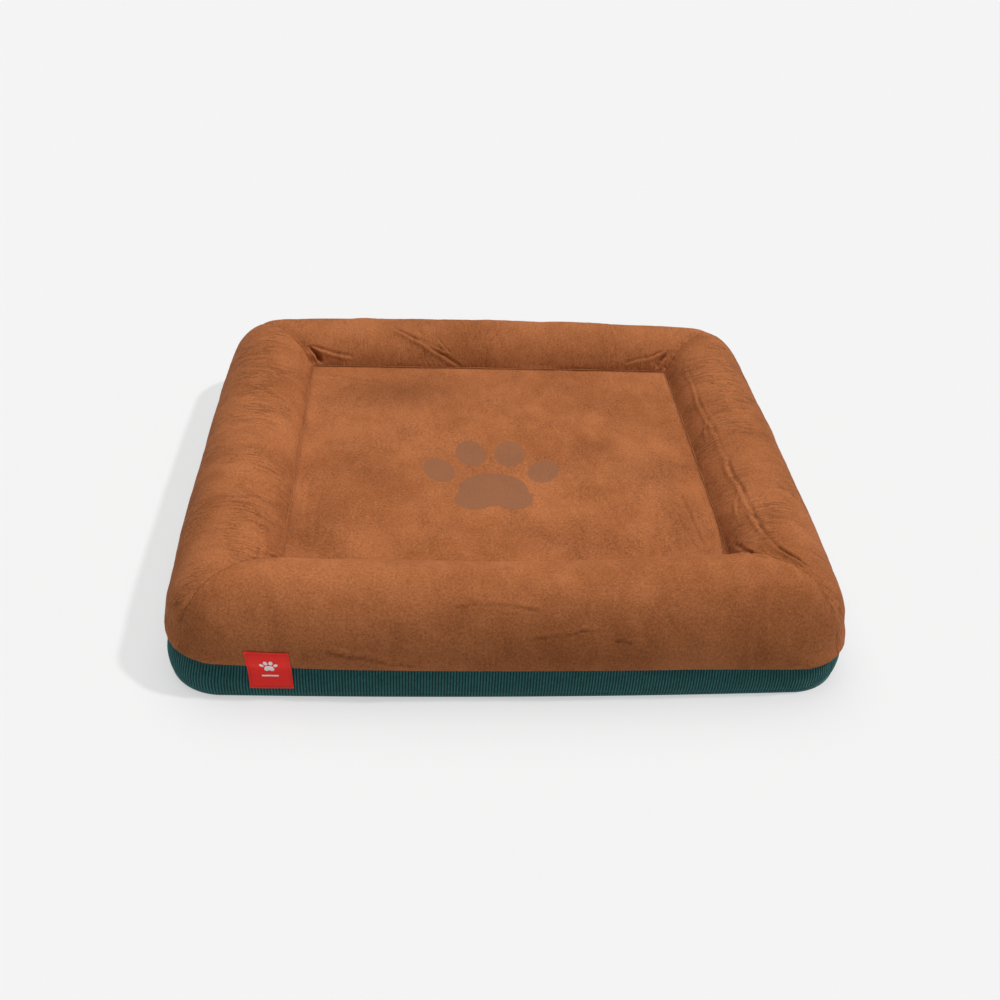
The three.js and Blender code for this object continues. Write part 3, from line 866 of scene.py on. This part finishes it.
def cover_detail(side, along, up, half, top):
    """How far outwards the sewn cover's puckers, wrinkles and soft lumps move each point."""
    seed = 11 * (SIDES.index(side) + 1)
    lumps = 0
    for number, (height, cell) in enumerate(LUMPS):
        lumps = lumps + height * lattice_noise(along, up, cell * MM, seed + number)
    bend = 1.6 * MM * lattice_noise(along, up, 18 * MM, seed + 4)
    strength = 0.6 + 0.6 * lattice_noise(along, up, 45 * MM, seed + 5)
    wrinkles = 0.6 - 1.6 * np.abs(lattice_noise(along + bend, 0.09 * up, 2.6 * MM, seed + 6))
    wrinkles = WRINKLES[side] * strength * wrinkles * smooth_step(15 * MM, 50 * MM, up)
    to_mitre = half - np.abs(along)
    to_inner = top - up
    wander = lattice_noise(along, up, 22 * MM, seed + 3)
    mitre_pucker = pucker(up / (9 * MM) + 0.8 * wander, to_mitre, 9 * MM)
    inner_pucker = pucker(along / (8 * MM) + wander, to_inner, 7 * MM)
    outer_pucker = pucker(along / (14 * MM) + wander, up, 7 * MM)
    lip = np.exp(-(((to_mitre - 2.4 * MM) / (1.3 * MM)) ** 2)) * smooth_step(0, 10 * MM, up)
    settle = smooth_step(0, 8 * MM, up) * smooth_step(0, 5 * MM, to_inner) * smooth_step(0, 6 * MM, to_mitre)
    out = MM * (lumps + wrinkles) * settle + 0.4 * MM * lip
    out += 0.5 * MM * mitre_pucker * smooth_step(0, 2 * MM, to_mitre) * smooth_step(0, 6 * MM, up)
    out += 0.45 * MM * inner_pucker * smooth_step(0, 2 * MM, to_inner)
    out += 0.3 * MM * outer_pucker * smooth_step(0, 2 * MM, up)
    sway = 1.5 * MM * lattice_noise(along, up, 12 * MM, seed + 7)
    pinch = 0.95 + 0.5 * lattice_noise(along, up, 24 * MM, seed + 8)
    edge = smooth_step(0, 3 * MM, to_inner) * smooth_step(0, 3 * MM, up) * smooth_step(0, 2 * MM, to_mitre)
    for place, points, depth, width, ridge in CREASES:
        if place == side:
            out -= crease_depth(along, up + sway, points, depth, width, ridge) * edge * pinch
    return out


def add_bolsters(materials):
    """The four bolsters, each in its own suede. Gives the front cover, which the label hangs over."""
    section, up = bolster_section(SECTION_ROWS)
    ring, starts, steps = bolster_ring(SECTION_ROWS)
    ring = pull_in_mitres(ring, starts, up)
    pinned = np.zeros(ring.shape[:2], bool)
    pinned[:, [0, -1]] = True
    pinned[starts] = True
    ring = swollen(ring, pinned, looseness(len(ring), starts, steps, up / up[-1]))

    covers = []
    for number, side in enumerate(SIDES):
        first = starts[number]
        columns = np.arange(first, first + steps[number] + 1) % len(ring)
        grid = denser(denser(ring[columns], 4, 0), 2, 1)
        fraction = np.linspace(-1, 1, len(grid))
        rows_up = np.linspace(0, up[-1], grid.shape[1])
        insets = np.interp(rows_up, up, section[:, 0])
        half = np.array([Outline(i).side(number, 1) - Outline(i).side(number, -1) for i in insets]) / 2
        along = fraction[:, None] * half[None]
        climb = np.broadcast_to(rows_up[None], along.shape)
        outward = grid_normals(grid)
        grid = grid + outward * cover_detail(side, along, climb, half[None], up[-1])[..., None]
        add_bolster(side, number, grid, along, climb, materials[number])
        covers.append(grid)
    return covers[0]


def add_bolster(side, number, grid, along, climb, material):
    """One bolster as a closed form: the cover, and a flat underside that stands on the foam."""
    fraction = np.linspace(-1, 1, len(grid))
    under = []
    for inset, z in UNDERSIDE:
        line = Outline(inset)
        xy, _ = line.at(line.side(number, fraction))
        under.append(bowed(np.column_stack([xy, np.full(len(xy), z)])))
    loops = np.concatenate([grid, np.stack(under, 1)], 1)
    ahead = loops[1:] - loops[:-1]
    ahead /= np.maximum(np.linalg.norm(ahead, axis=2, keepdims=True), 1e-9)
    loops[0] += MITRE_GAP * ahead[0]
    loops[-1] -= MITRE_GAP * ahead[-1]
    below = np.linspace(0.01, 0.2, len(under))
    v = np.concatenate([climb, climb[:, -1:] + below[None]], 1)
    u = np.concatenate([along, np.repeat(along[:, -1:], len(under), 1)], 1)
    uv = np.stack([u + 1.7 * number, v], -1)
    piece = closed_strip(f"bolster_{side}", loops, material, uv)
    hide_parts(f"bolster_cover_{side}", f"bolster_pad_{side}")
    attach(piece, "bed")


# ---- Sleeping pad ---------------------------------------------------------------------------


# Soft hollows in the panel: centre, half sizes and depth in millimetres.
HOLLOWS = [
    ((-150, 178), (80, 30), 3.0),
    ((-190, -120), (34, 90), 1.6),
    ((215, -150), (36, 80), 1.8),
    ((120, 120), (90, 50), -1.6),
    ((60, -170), (110, 36), -1.2),
]
PANEL_CREASES = [
    ([(-252, -40), (-255, -110), (-250, -180)], 0.8, 6.0, 0.5),
    ([(-236, -70), (-240, -130), (-238, -190)], 0.5, 5.0, 0.3),
    ([(236, -90), (240, -150), (246, -205)], 1.4, 5.0, 1.0),
    ([(222, -130), (228, -175), (236, -212)], 1.0, 4.0, 0.8),
    ([(-250, 205), (-215, 196), (-170, 190)], 1.4, 6.0, 0.8),
]


def panel_height(x, y):
    """The sleeping panel's surface: crowned, softly uneven, and drawn down where it is sewn in."""
    off_x, off_y = panel_high.x - np.abs(x), panel_high.y - np.abs(y)
    edge = np.maximum(np.minimum(off_x, off_y), 0)
    crown = 2.2 * smooth_step(0, 60 * MM, edge) + 0.8 * smooth_step(0, 6 * MM, edge) - 1.0
    lumps = 1.5 * lattice_noise(x, y, 85 * MM, 5) + 0.7 * lattice_noise(x, y, 34 * MM, 6)
    lumps += 0.22 * lattice_noise(x, y, 9 * MM, 8) + 0.1 * lattice_noise(x, y, 3.4 * MM, 9)
    for (cx, cy), (rx, ry), depth in HOLLOWS:
        lumps -= depth * np.exp(-(((x / MM - cx) / rx) ** 2) - ((y / MM - cy) / ry) ** 2)
    for points, depth, width, ridge in PANEL_CREASES:
        lumps -= crease_depth(x, y, points, depth, width, ridge) / MM
    wander = lattice_noise(x, y, 20 * MM, 7)
    round_it = np.where(off_x < off_y, y, x)
    gathers = 0.5 * pucker(round_it / (8 * MM) + wander, edge, 8 * MM)
    return SLEEP_HEIGHT + MM * (crown + (lumps + gathers) * smooth_step(0, 25 * MM, edge) ** 0.5)


def add_sleep_pad(material):
    """The sleeping panel as a closed pad, with its crowned top and a flat bottom."""
    x = np.linspace(-panel_high.x, panel_high.x, 321)
    y = np.linspace(-panel_high.y, panel_high.y, 281)
    x, y = np.meshgrid(x, y, indexing="ij")
    columns, rows = x.shape
    top = bowed(np.stack([x, y, panel_height(x, y)], -1))
    bottom = bowed(np.stack([x, y, np.full(x.shape, panel_low.z)], -1))
    faces = grid_faces(columns, rows)
    total = columns * rows
    hem = rim(np.arange(total).reshape(columns, rows)).tolist()
    walls = [[total + a, total + b, b, a] for a, b in zip(hem, hem[1:] + hem[:1])]
    faces = faces.tolist() + (faces[:, ::-1] + total).tolist() + walls
    points = np.concatenate([top, bottom]).reshape(-1, 3)
    uv = np.tile(np.stack([x, y], -1).reshape(-1, 2), (2, 1))
    piece = mesh_piece("sleep_pad", points, faces, material, uv)
    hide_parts("sleep_panel")
    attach(piece, "bed")


WELT_RADIUS = 1.6 * MM


def add_welt(material):
    """The narrow folded welt in the seam round the sleeping pad."""
    line = Outline(PANEL_INSET - 0.4 * MM)
    distance = np.linspace(0, line.length, 900, endpoint=False)
    xy, outward = line.at(distance)
    sway = 0.35 * MM * lattice_noise(distance, 0 * distance, 30 * MM, 21)
    lift = 0.3 * MM * lattice_noise(distance, 0 * distance, 16 * MM, 22)
    path = bowed(np.column_stack([xy + outward * sway[:, None], SLEEP_HEIGHT - 0.5 * MM + lift]))
    turn = full_turn(10)
    points, faces = tube_mesh(path, (0, 0, 1), WELT_RADIUS, turn, closed=True, flatten=0.8)
    u, v = np.broadcast_arrays(distance_along(path)[:, None], (WELT_RADIUS * turn)[None])
    piece = mesh_piece("seam_welt", points, faces, material, np.stack([u, v], -1))
    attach(piece, "bed")


# ---- Stitches -------------------------------------------------------------------------------

STITCH_PITCH = 3.8 * MM
STITCH_LENGTH = 2.7 * MM
THREAD_RADIUS = 0.4 * MM
STITCH_SHAPE = [  # share of the stitch's length, and height in millimetres
    (0, -0.5),
    (0.2, 0.15),
    (0.5, 0.32),
    (0.8, 0.15),
    (1, -0.5),
]


def stitch_row(name, path, above, material):
    """Thread laid in stitches along a path of points: each rises out of the cloth and dips back
    in. above is the cloth's outward direction at each point."""
    gone = distance_along(path)
    count = int((gone[-1] - STITCH_LENGTH) / STITCH_PITCH) + 1
    turn = full_turn(6)
    points, faces = [], []
    for number in range(count):
        start = number * STITCH_PITCH
        rings = []
        for share, lift in STITCH_SHAPE:
            place = start + share * STITCH_LENGTH
            middle = np.array([np.interp(place, gone, path[:, k]) for k in range(3)])
            out = np.array([np.interp(place, gone, above[:, k]) for k in range(3)])
            out /= np.linalg.norm(out)
            rings.append((middle + lift * MM * out, out))
        ahead = rings[-1][0] - rings[0][0]
        ahead /= np.linalg.norm(ahead)
        base = len(points)
        for middle, out in rings:
            aside = np.cross(ahead, out)
            for angle in turn:
                points.append(middle + THREAD_RADIUS * (math.cos(angle) * aside + math.sin(angle) * out))
        sides = len(turn)
        for ring in range(len(rings) - 1):
            for k in range(sides):
                a, b = base + ring * sides + k, base + ring * sides + (k + 1) % sides
                faces.append((a, b, b + sides, a + sides))
        faces += end_caps(len(rings), sides, base)
    piece = mesh_piece(name, points, faces, material)
    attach(piece, "bed")


def add_seam_stitches(material):
    """The row of stitches just inside the welt."""
    line = Outline(PANEL_INSET + 3.2 * MM)
    distance = np.linspace(0, line.length, 1600)
    xy, _ = line.at(distance)
    path = bowed(np.column_stack([xy, panel_height(xy[:, 0], xy[:, 1])]))
    stitch_row("panel_stitches", path, np.tile((0.0, 0.0, 1.0), (len(path), 1)), material)


# ---- Base band ------------------------------------------------------------------------------

BAND_CLOTH = 2 * MM
RIB_STEPS = 6


def pushed_out(xy, outward):
    """Points of the band's outline as the foam pushes them out, except at the straight back wall."""
    push = BAND_PROUD * smooth_step(DEPTH / 2 - 5 * MM, DEPTH / 2 - 60 * MM, xy[:, 1])
    return xy + outward * push[:, None]


def add_band(name, node_name, start, end, bottom, top, material):
    """A strip of upright ribs along the outline, between two distances and two heights."""
    line = Outline(BAND_INSET, BAND_CORNER)
    ribs = round((end - start) / RIB_PITCH)
    distance = np.linspace(start, end, ribs * RIB_STEPS + 1)
    xy, outward = line.at(distance)
    xy = pushed_out(xy, outward)
    height = np.linspace(0, 1, 13)
    z = bottom + (top - bottom) * height
    d, h = np.meshgrid(distance, height, indexing="ij")
    level = bottom + (top - bottom) * h
    rib = 0.5 + 0.5 * np.cos(2 * math.pi * d / RIB_PITCH)
    share = (level - BAND_BOTTOM) / (BAND_TOP - BAND_BOTTOM)
    belly = 2.2 * MM * np.sin(math.pi * np.clip(share * 0.9 + 0.12, 0, 1)) - 1.6 * MM
    belly -= 2.4 * MM * smooth_step(0.14, -0.04, share)
    waves = 0.8 * lattice_noise(d, level, 60 * MM, 31) + 0.4 * lattice_noise(d, level, 24 * MM, 32)
    out = RIB_HEIGHT * (rib**0.7 - 1) + belly + MM * waves * smooth_step(1.0, 0.7, share)
    outer = np.empty(d.shape + (3,))
    outer[..., :2] = xy[:, None] + outward[:, None] * out[..., None]
    outer[..., 2] = z[None]
    inside = outer[:, ::-1].copy()
    inside[..., :2] = (xy - outward * BAND_CLOTH)[:, None]
    loops = bowed(np.concatenate([outer, inside], 1))
    u = np.concatenate([d, d], 1)
    v = np.concatenate([level, level[:, ::-1] + 0.1], 1)
    piece = closed_strip(name, loops, material, np.stack([u, v], -1))
    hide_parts(node_name)
    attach(piece, "bed")


def add_bands(material):
    """The corduroy round the base: three whole sides, and two strips with the zip between them."""
    line = Outline(BAND_INSET, BAND_CORNER)
    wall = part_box("band_back_upper")[1].x
    back_middle = line.length / 2
    gap = 0.2 * MM
    low = 0.4 * MM  # the hem turns under and almost brushes the floor
    first, right = line.side(0, -1), line.side(0, 1)
    add_band("front_band", "band_front", first + gap, right - gap, low, BAND_TOP, material)
    add_band("right_band", "band_right", right + gap, back_middle - wall, low, BAND_TOP, material)
    left_end = line.length + first - gap
    add_band("left_band", "band_left", back_middle + wall, left_end, low, BAND_TOP, material)
    start, end = back_middle - wall + gap, back_middle + wall - gap
    upper_low, upper_high = (corner.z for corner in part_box("band_back_upper"))
    lower_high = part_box("band_back_lower")[1].z
    add_band("back_band_upper", "band_back_upper", start, end, upper_low, upper_high, material)
    add_band("back_band_lower", "band_back_lower", start, end, low, lower_high, material)


# ---- Label ----------------------------------------------------------------------------------

LABEL_SLANT = 0.06
LABEL_THICKNESS = 0.7 * MM
LABEL_CLEARANCE = 0.5 * MM
LOW_ROWS = 24  # the rows of points of the cover that the label can touch
HEM_WIDTH = 2.6 * MM


def label_front(cover, x, z):
    """How far forward, as -y, the label lies: over the front bolster, then down to the band."""
    column = cover[np.argmin(np.abs(cover[:, LOW_ROWS // 2, 0] - x))]
    lowest = column[:LOW_ROWS][np.argsort(column[:LOW_ROWS, 2])]
    bolster = np.interp(z, lowest[:, 2], -lowest[:, 1])
    leaves = lowest[0, 2] + 2 * MM  # the height at which the label leaves the bolster
    hem_y = bolster[np.argmin(np.abs(z - leaves))]
    band = -bowed(np.array([x, BAND_INSET - BAND_PROUD - DEPTH / 2, 20 * MM]))[1] + 0.8 * MM
    hanging = band + (hem_y - band) * smooth_step(label_low.z - 4 * MM, leaves, z)
    return np.where(z > leaves, bolster, hanging) + LABEL_THICKNESS + LABEL_CLEARANCE


def add_label(cover, thread):
    """The woven label, sewn on over the seam, hanging from the bolster and resting on the band."""
    middle_x = (label_low.x + label_high.x) / 2
    middle_z = (label_low.z + label_high.z) / 2
    tall = label_high.z - label_low.z
    half = (label_high.x - label_low.x - LABEL_SLANT * tall) / 2
    across = np.linspace(-half, half, 61)
    heights = np.linspace(label_high.z, label_low.z, 65)
    a, z = np.meshgrid(across, heights, indexing="ij")
    forward = np.stack([label_front(cover, middle_x + offset, heights) for offset in across])
    smoothed = np.ones(9) / 9
    for axis in (0, 1):
        widths = [(4, 4) if axis == k else (0, 0) for k in range(2)]
        padded = np.pad(forward, widths, "edge")
        forward = np.apply_along_axis(lambda line: np.convolve(line, smoothed, "valid"), axis, padded)
    edge = np.minimum(half - np.abs(a), np.minimum(label_high.z - z, z - label_low.z))
    hem = 0.3 * MM * np.exp(-(((edge - HEM_WIDTH) / (0.5 * MM)) ** 2))
    curl = 0.5 * MM * smooth_step(4 * MM, 0, edge) * lattice_noise(a, z, 16 * MM, 41)
    front = -forward + hem - np.abs(curl)
    x = middle_x + a - LABEL_SLANT * (z - middle_z)
    face = np.stack([x, front, z], -1)
    back = np.stack([x, front + LABEL_THICKNESS, z], -1)
    loops = np.concatenate([face, back[:, ::-1]], 1)
    profile = forward[len(across) // 2]
    gone = distance_along(np.column_stack([heights, profile]))
    v = np.concatenate([-gone, -gone[::-1]])
    uv = np.stack(np.broadcast_arrays(across[:, None], v[None]), -1)
    material = label_cloth("label_cloth", (0.0, -0.40 * gone[-1]), 21 * MM)
    piece = closed_strip("side_label_cloth", loops, material, uv)
    piece.data.flip_normals()
    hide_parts("side_label")
    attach(piece, "bed")

    inner = face[3:-3, 3:-3]
    route = np.concatenate([rim(inner), inner[:1, 0]])
    outward = np.tile((0.0, -0.9, 0.44), (len(route), 1))
    stitch_row("label_stitches", route, outward, thread)


# ---- Base -----------------------------------------------------------------------------------

# Insets and heights in millimetres, from the underside round the base cloth's edge to its top.
BASE_EDGE = [(12, 1.4), (8, 1.2), (3.4, 1.5), (3.4, 2.0), (12, 2.2)]


def add_base(material, dot_material):
    """The base cloth, with rows of moulded grip dots that the bed stands on."""
    line = Outline(BAND_INSET, BAND_CORNER)
    distance = np.linspace(0, line.length, 480, endpoint=False)
    xy, outward = line.at(distance)
    xy = pushed_out(xy, outward)
    loops = []
    for inset, z in BASE_EDGE:
        loops.append(np.column_stack([xy - outward * inset * MM, np.full(len(xy), z * MM)]))
    points = bowed(np.stack(loops, 1))
    rows = points.shape[1]
    faces = grid_faces(len(xy), rows, wrap_columns=True).tolist()
    faces.append([i * rows for i in range(len(xy))][::-1])
    faces.append([i * rows + rows - 1 for i in range(len(xy))])
    piece = mesh_piece("base_cloth", points, faces, material)
    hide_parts("bottom_panel")
    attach(piece, "bed")
    add_grip_dots(dot_material)


DOT_SPACING = 25 * MM
DOT_RADIUS = 3 * MM
DOT_HEIGHT = 1.4 * MM


def add_grip_dots(material):
    """One moulded dot, modelled once and copied over the base in staggered rows."""
    bpy.ops.object.select_all(action="DESELECT")
    bpy.ops.mesh.primitive_cylinder_add(
        vertices=10, radius=DOT_RADIUS, depth=DOT_HEIGHT, location=(0, 0, DOT_HEIGHT / 2)
    )
    dot = bpy.context.object
    bpy.ops.object.transform_apply(location=True, rotation=False, scale=False)
    rounding = dot.modifiers.new("rounding", "BEVEL")
    rounding.width = 0.5 * MM
    rounding.segments = 1
    rounding.limit_method = "ANGLE"
    bpy.ops.object.modifier_apply(modifier=rounding.name)
    corners = np.array([tuple(v.co) for v in dot.data.vertices])
    shapes = [tuple(face.vertices) for face in dot.data.polygons]
    bpy.data.objects.remove(dot)

    points, faces = [], []
    across, deep = round(WIDTH / 2 / DOT_SPACING), round(DEPTH / 2 / DOT_SPACING)
    for i in range(-across, across + 1):
        for j in range(-deep, deep + 1):
            x, y = (i + 0.5 * (j % 2)) * DOT_SPACING, j * DOT_SPACING
            past_x = max(abs(x) - WIDTH / 2 + CORNER_RADIUS, 0)
            past_y = max(abs(y) - DEPTH / 2 + CORNER_RADIUS, 0)
            if math.hypot(past_x, past_y) > CORNER_RADIUS - DOT_SPACING:
                continue
            base = len(points)
            points += (corners + (x, y, 0)).tolist()
            faces += [tuple(base + k for k in shape) for shape in shapes]
    piece = mesh_piece("grip_dots", points, faces, material, smooth=False)
    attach(piece, "bed")


# ---- Zip ------------------------------------------------------------------------------------

COIL_PITCH = 1.5 * MM
SEAM_FROM_ZIP = 3 * MM  # the stitches beside the zip, from the slot's edges
COIL_THREAD = 0.38 * MM  # radius of the coil's nylon thread
MOVING_METAL = [  # CAD node, new piece, rounding in millimetres and body
    ("slider_body", "slider_casting", 0.35, "zip_slider"),
    ("slider_back_plate", "slider_back_wing", 0.3, "zip_slider"),
    ("pull_pin", "slider_pin", 0.15, "zip_slider"),
    ("pull_tab", "zip_puller", 0.3, "zip_pull"),
]


def softened(node_name, piece_name, edge, material, body):
    """A copy of a hard piece with its edges rounded over."""
    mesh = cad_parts[node_name].data.copy()
    mesh.name = piece_name
    mesh.materials.clear()
    mesh.materials.append(material)
    piece = bpy.data.objects.new(piece_name, mesh)
    bpy.context.scene.collection.objects.link(piece)
    bpy.ops.object.select_all(action="DESELECT")
    bpy.context.view_layer.objects.active = piece
    piece.select_set(True)
    bpy.ops.object.mode_set(mode="EDIT")
    bpy.ops.mesh.select_all(action="SELECT")
    bpy.ops.mesh.remove_doubles(threshold=0.01 * MM)
    bpy.ops.mesh.dissolve_limited(angle_limit=math.radians(2))
    bpy.ops.object.mode_set(mode="OBJECT")
    rounding = piece.modifiers.new("rounding", "BEVEL")
    rounding.width = edge
    rounding.segments = 3
    rounding.limit_method = "ANGLE"
    rounding.angle_limit = math.radians(35)
    rounding.use_clamp_overlap = True
    bpy.ops.object.modifier_apply(modifier=rounding.name)
    bpy.ops.object.shade_smooth_by_angle(angle=math.radians(40))
    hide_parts(node_name)
    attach(piece, body)


def add_coil(half, material):
    """One side's nylon coil: loops of thread that reach over the middle between their mates."""
    low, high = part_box(f"zip_chain_{half}")
    middle = (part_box("zip_chain_upper")[0].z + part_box("zip_chain_lower")[1].z) / 2
    side = 1 if half == "upper" else -1
    width = high.z - low.z
    near, far = 0.3 * MM, width - 0.3 * MM
    floor, roof = low.y + COIL_THREAD, high.y - COIL_THREAD
    route = [
        (0.0, far, floor),
        (0.05, far, (floor + roof) / 2),
        (0.1, far - 0.3 * MM, roof),
        (0.15, near + 0.3 * MM, roof),
        (0.25, near, (floor + roof) / 2),
        (0.35, near + 0.3 * MM, floor),
        (1.0, far, floor),
    ]
    turns = int((high.x - low.x - COIL_PITCH) / COIL_PITCH)
    shift = 0.5 * COIL_PITCH if half == "upper" else 0
    path = []
    for number in range(turns):
        for part, across, out in route[:-1]:
            path.append((low.x + shift + (number + part) * COIL_PITCH, out, middle + side * across))
    points, faces = tube_mesh(np.array(path), (1, 0, 0), COIL_THREAD, full_turn(5))
    piece = mesh_piece(f"zip_coil_{half}", points, faces, material)
    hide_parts(f"zip_chain_{half}")
    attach(piece, "bed")


def add_zip(coil, steel, patch, thread):
    """The zip's coils, its rounded metal, the patches over its ends and the stitches beside it."""
    for half in ("upper", "lower"):
        add_coil(half, coil)
    for hand in ("left", "right"):
        softened(f"zip_stop_{hand}", f"end_stop_{hand}", 0.4 * MM, steel, "bed")
        softened(f"zip_end_patch_{hand}", f"end_patch_{hand}", 0.3 * MM, patch, "bed")
    for node_name, piece_name, edge, body in MOVING_METAL:
        softened(node_name, piece_name, edge * MM, steel, body)
    slot_low, slot_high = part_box("band_back_lower")[1].z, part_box("band_back_upper")[0].z
    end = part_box("zip_stop_left")[1].x
    x = np.linspace(-end, end, 200)
    y = np.full(len(x), DEPTH / 2 - BAND_INSET + 0.4 * MM)
    outward = np.tile((0.0, 1.0, 0.0), (len(x), 1))
    for name, z in (("upper", slot_high + SEAM_FROM_ZIP), ("lower", slot_low - SEAM_FROM_ZIP)):
        path = np.column_stack([x, y, np.full(len(x), z)])
        stitch_row(f"zip_stitches_{name}", path, outward, thread)


# ---- Floor, light and camera ----------------------------------------------------------------


FLOOR_SIZE = 160
FLOOR_GREY = (0.32, 0.32, 0.32, 1)
FLOOR_GLOW = 0.52
HORIZON_GLOW = 0.86
CEILING_GLOW = 0.10
LAMPS = [  # name, direction, strength and angular spread in degrees
    ("overhead", (0.08, -0.33, -1), 2.06, 60),
    ("key", (-0.75, -0.03, -1), 1.77, 4),
]
CAMERA_ANGLES = (36.35, 5.35, 3.65)  # pitch, yaw and roll in degrees
CAMERA_PLACE = (-0.1411, -1.5721, 1.1763)  # in widths of the bed
CAMERA_LENS = 39.72


def add_floor():
    """A pale floor that glows a little, so that it stays bright round the bed's shadow."""
    bpy.ops.mesh.primitive_plane_add(size=FLOOR_SIZE, location=(0, 0, -0.2 * MM))
    floor = bpy.context.object
    floor.name = "floor"
    material, tree, shader = blank_material("pale_floor", 0.9, Specular_IOR_Level=0.0)
    shader.inputs["Base Color"].default_value = FLOOR_GREY
    shader.inputs["Emission Color"].default_value = (1, 1, 1, 1)
    shader.inputs["Emission Strength"].default_value = FLOOR_GLOW
    floor.data.materials.append(material)


def add_sun(name, towards, strength, spread):
    """A distant light that shines in a direction, with an angular spread in degrees."""
    light = bpy.data.lights.new(name, "SUN")
    light.energy = strength
    light.angle = math.radians(spread)
    lamp = bpy.data.objects.new(name, light)
    lamp.rotation_euler = Vector(towards).to_track_quat("-Z", "Y").to_euler()
    bpy.context.scene.collection.objects.link(lamp)


def add_lights():
    """A dim room whose walls glow low down, and two lamps above the bed."""
    world = bpy.data.worlds.new("studio")
    bpy.context.scene.world = world
    world.use_nodes = True
    tree = world.node_tree
    background = tree.nodes["Background"]
    background.inputs["Color"].default_value = (1, 1, 1, 1)
    towards = node(tree, "ShaderNodeTexCoord").outputs["Generated"]
    glow = remap(tree, axis_of(tree, towards, "Z"), 0.0, 0.4, HORIZON_GLOW, CEILING_GLOW)
    tree.links.new(glow, background.inputs["Strength"])
    for lamp in LAMPS:
        add_sun(*lamp)
    bpy.context.scene.view_settings.view_transform = "Standard"


def add_camera():
    """The camera, in front of the bed and above it, turned a little to the right and rolled."""
    pitch, yaw, roll = (math.radians(angle) for angle in CAMERA_ANGLES)
    flat = math.cos(pitch)
    ahead = Vector((math.sin(yaw) * flat, math.cos(yaw) * flat, -math.sin(pitch)))
    right = Vector((math.cos(yaw), -math.sin(yaw), 0))
    above = right.cross(ahead)
    tilted_right = right * math.cos(roll) + above * math.sin(roll)
    tilted_above = above * math.cos(roll) - right * math.sin(roll)
    turn = Matrix((tilted_right, tilted_above, -ahead)).transposed().to_4x4()
    data = bpy.data.cameras.new("camera")
    data.lens = CAMERA_LENS
    data.sensor_width = 36
    camera = bpy.data.objects.new("camera", data)
    camera.matrix_world = Matrix.Translation(Vector(CAMERA_PLACE) * WIDTH) @ turn
    bpy.context.scene.collection.objects.link(camera)
    bpy.context.scene.camera = camera


# ---- The bed --------------------------------------------------------------------------------


def dress(material, *nodes):
    """Gives CAD nodes that stay a material."""
    for name in nodes:
        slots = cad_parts[name].data.materials
        slots.clear()
        slots.append(material)


add_floor()
add_lights()
add_camera()

front_suede = suede("front_suede", (0.5, 1, 1), 0.35, 0.81)
side_suede = suede("side_suede", (1, 0.11, 1), 1.1, 0.88)
back_suede = suede("back_suede", (1, 0.2, 1), 0.7, 0.87)
front_cover = add_bolsters([front_suede, side_suede, back_suede, side_suede])
add_sleep_pad(suede("panel_suede", (0.8, 0.6, 1), 0.75, emblem=True))
add_welt(front_suede)
suede_thread = nylon("suede_thread", (0.30, 0.10, 0.036), 0.6)
add_seam_stitches(suede_thread)
add_bands(corduroy("band_corduroy"))
add_label(front_cover, nylon("label_thread", (0.62, 0.03, 0.02), 0.6))
add_base(plain_cloth("base_weave", (0.012, 0.016, 0.018)), nylon("grip_rubber", (0.01, 0.012, 0.013), 0.6))
add_zip(
    nylon("coil_nylon", (0.014, 0.05, 0.052)),
    metal("gunmetal", (0.16, 0.165, 0.17), 0.32),
    plain_cloth("patch_cloth", (0.018, 0.075, 0.078)),
    nylon("teal_thread", (0.012, 0.05, 0.052), 0.6),
)

dress(foam("support_foam_cut", (0.78, 0.7, 0.5), 1.6 * MM), "support_foam")
dress(foam("memory_foam_cut", (0.6, 0.72, 0.78), 0.9 * MM), "memory_foam_insert")
dress(plain_cloth("liner_coated", (0.66, 0.68, 0.64), 0.7 * MM, 0.5, 0.0), "liner_cap", "liner_tray")
dress(plain_cloth("tape_weave", (0.009, 0.034, 0.035), 0.6 * MM), "zip_tape_upper", "zip_tape_lower")
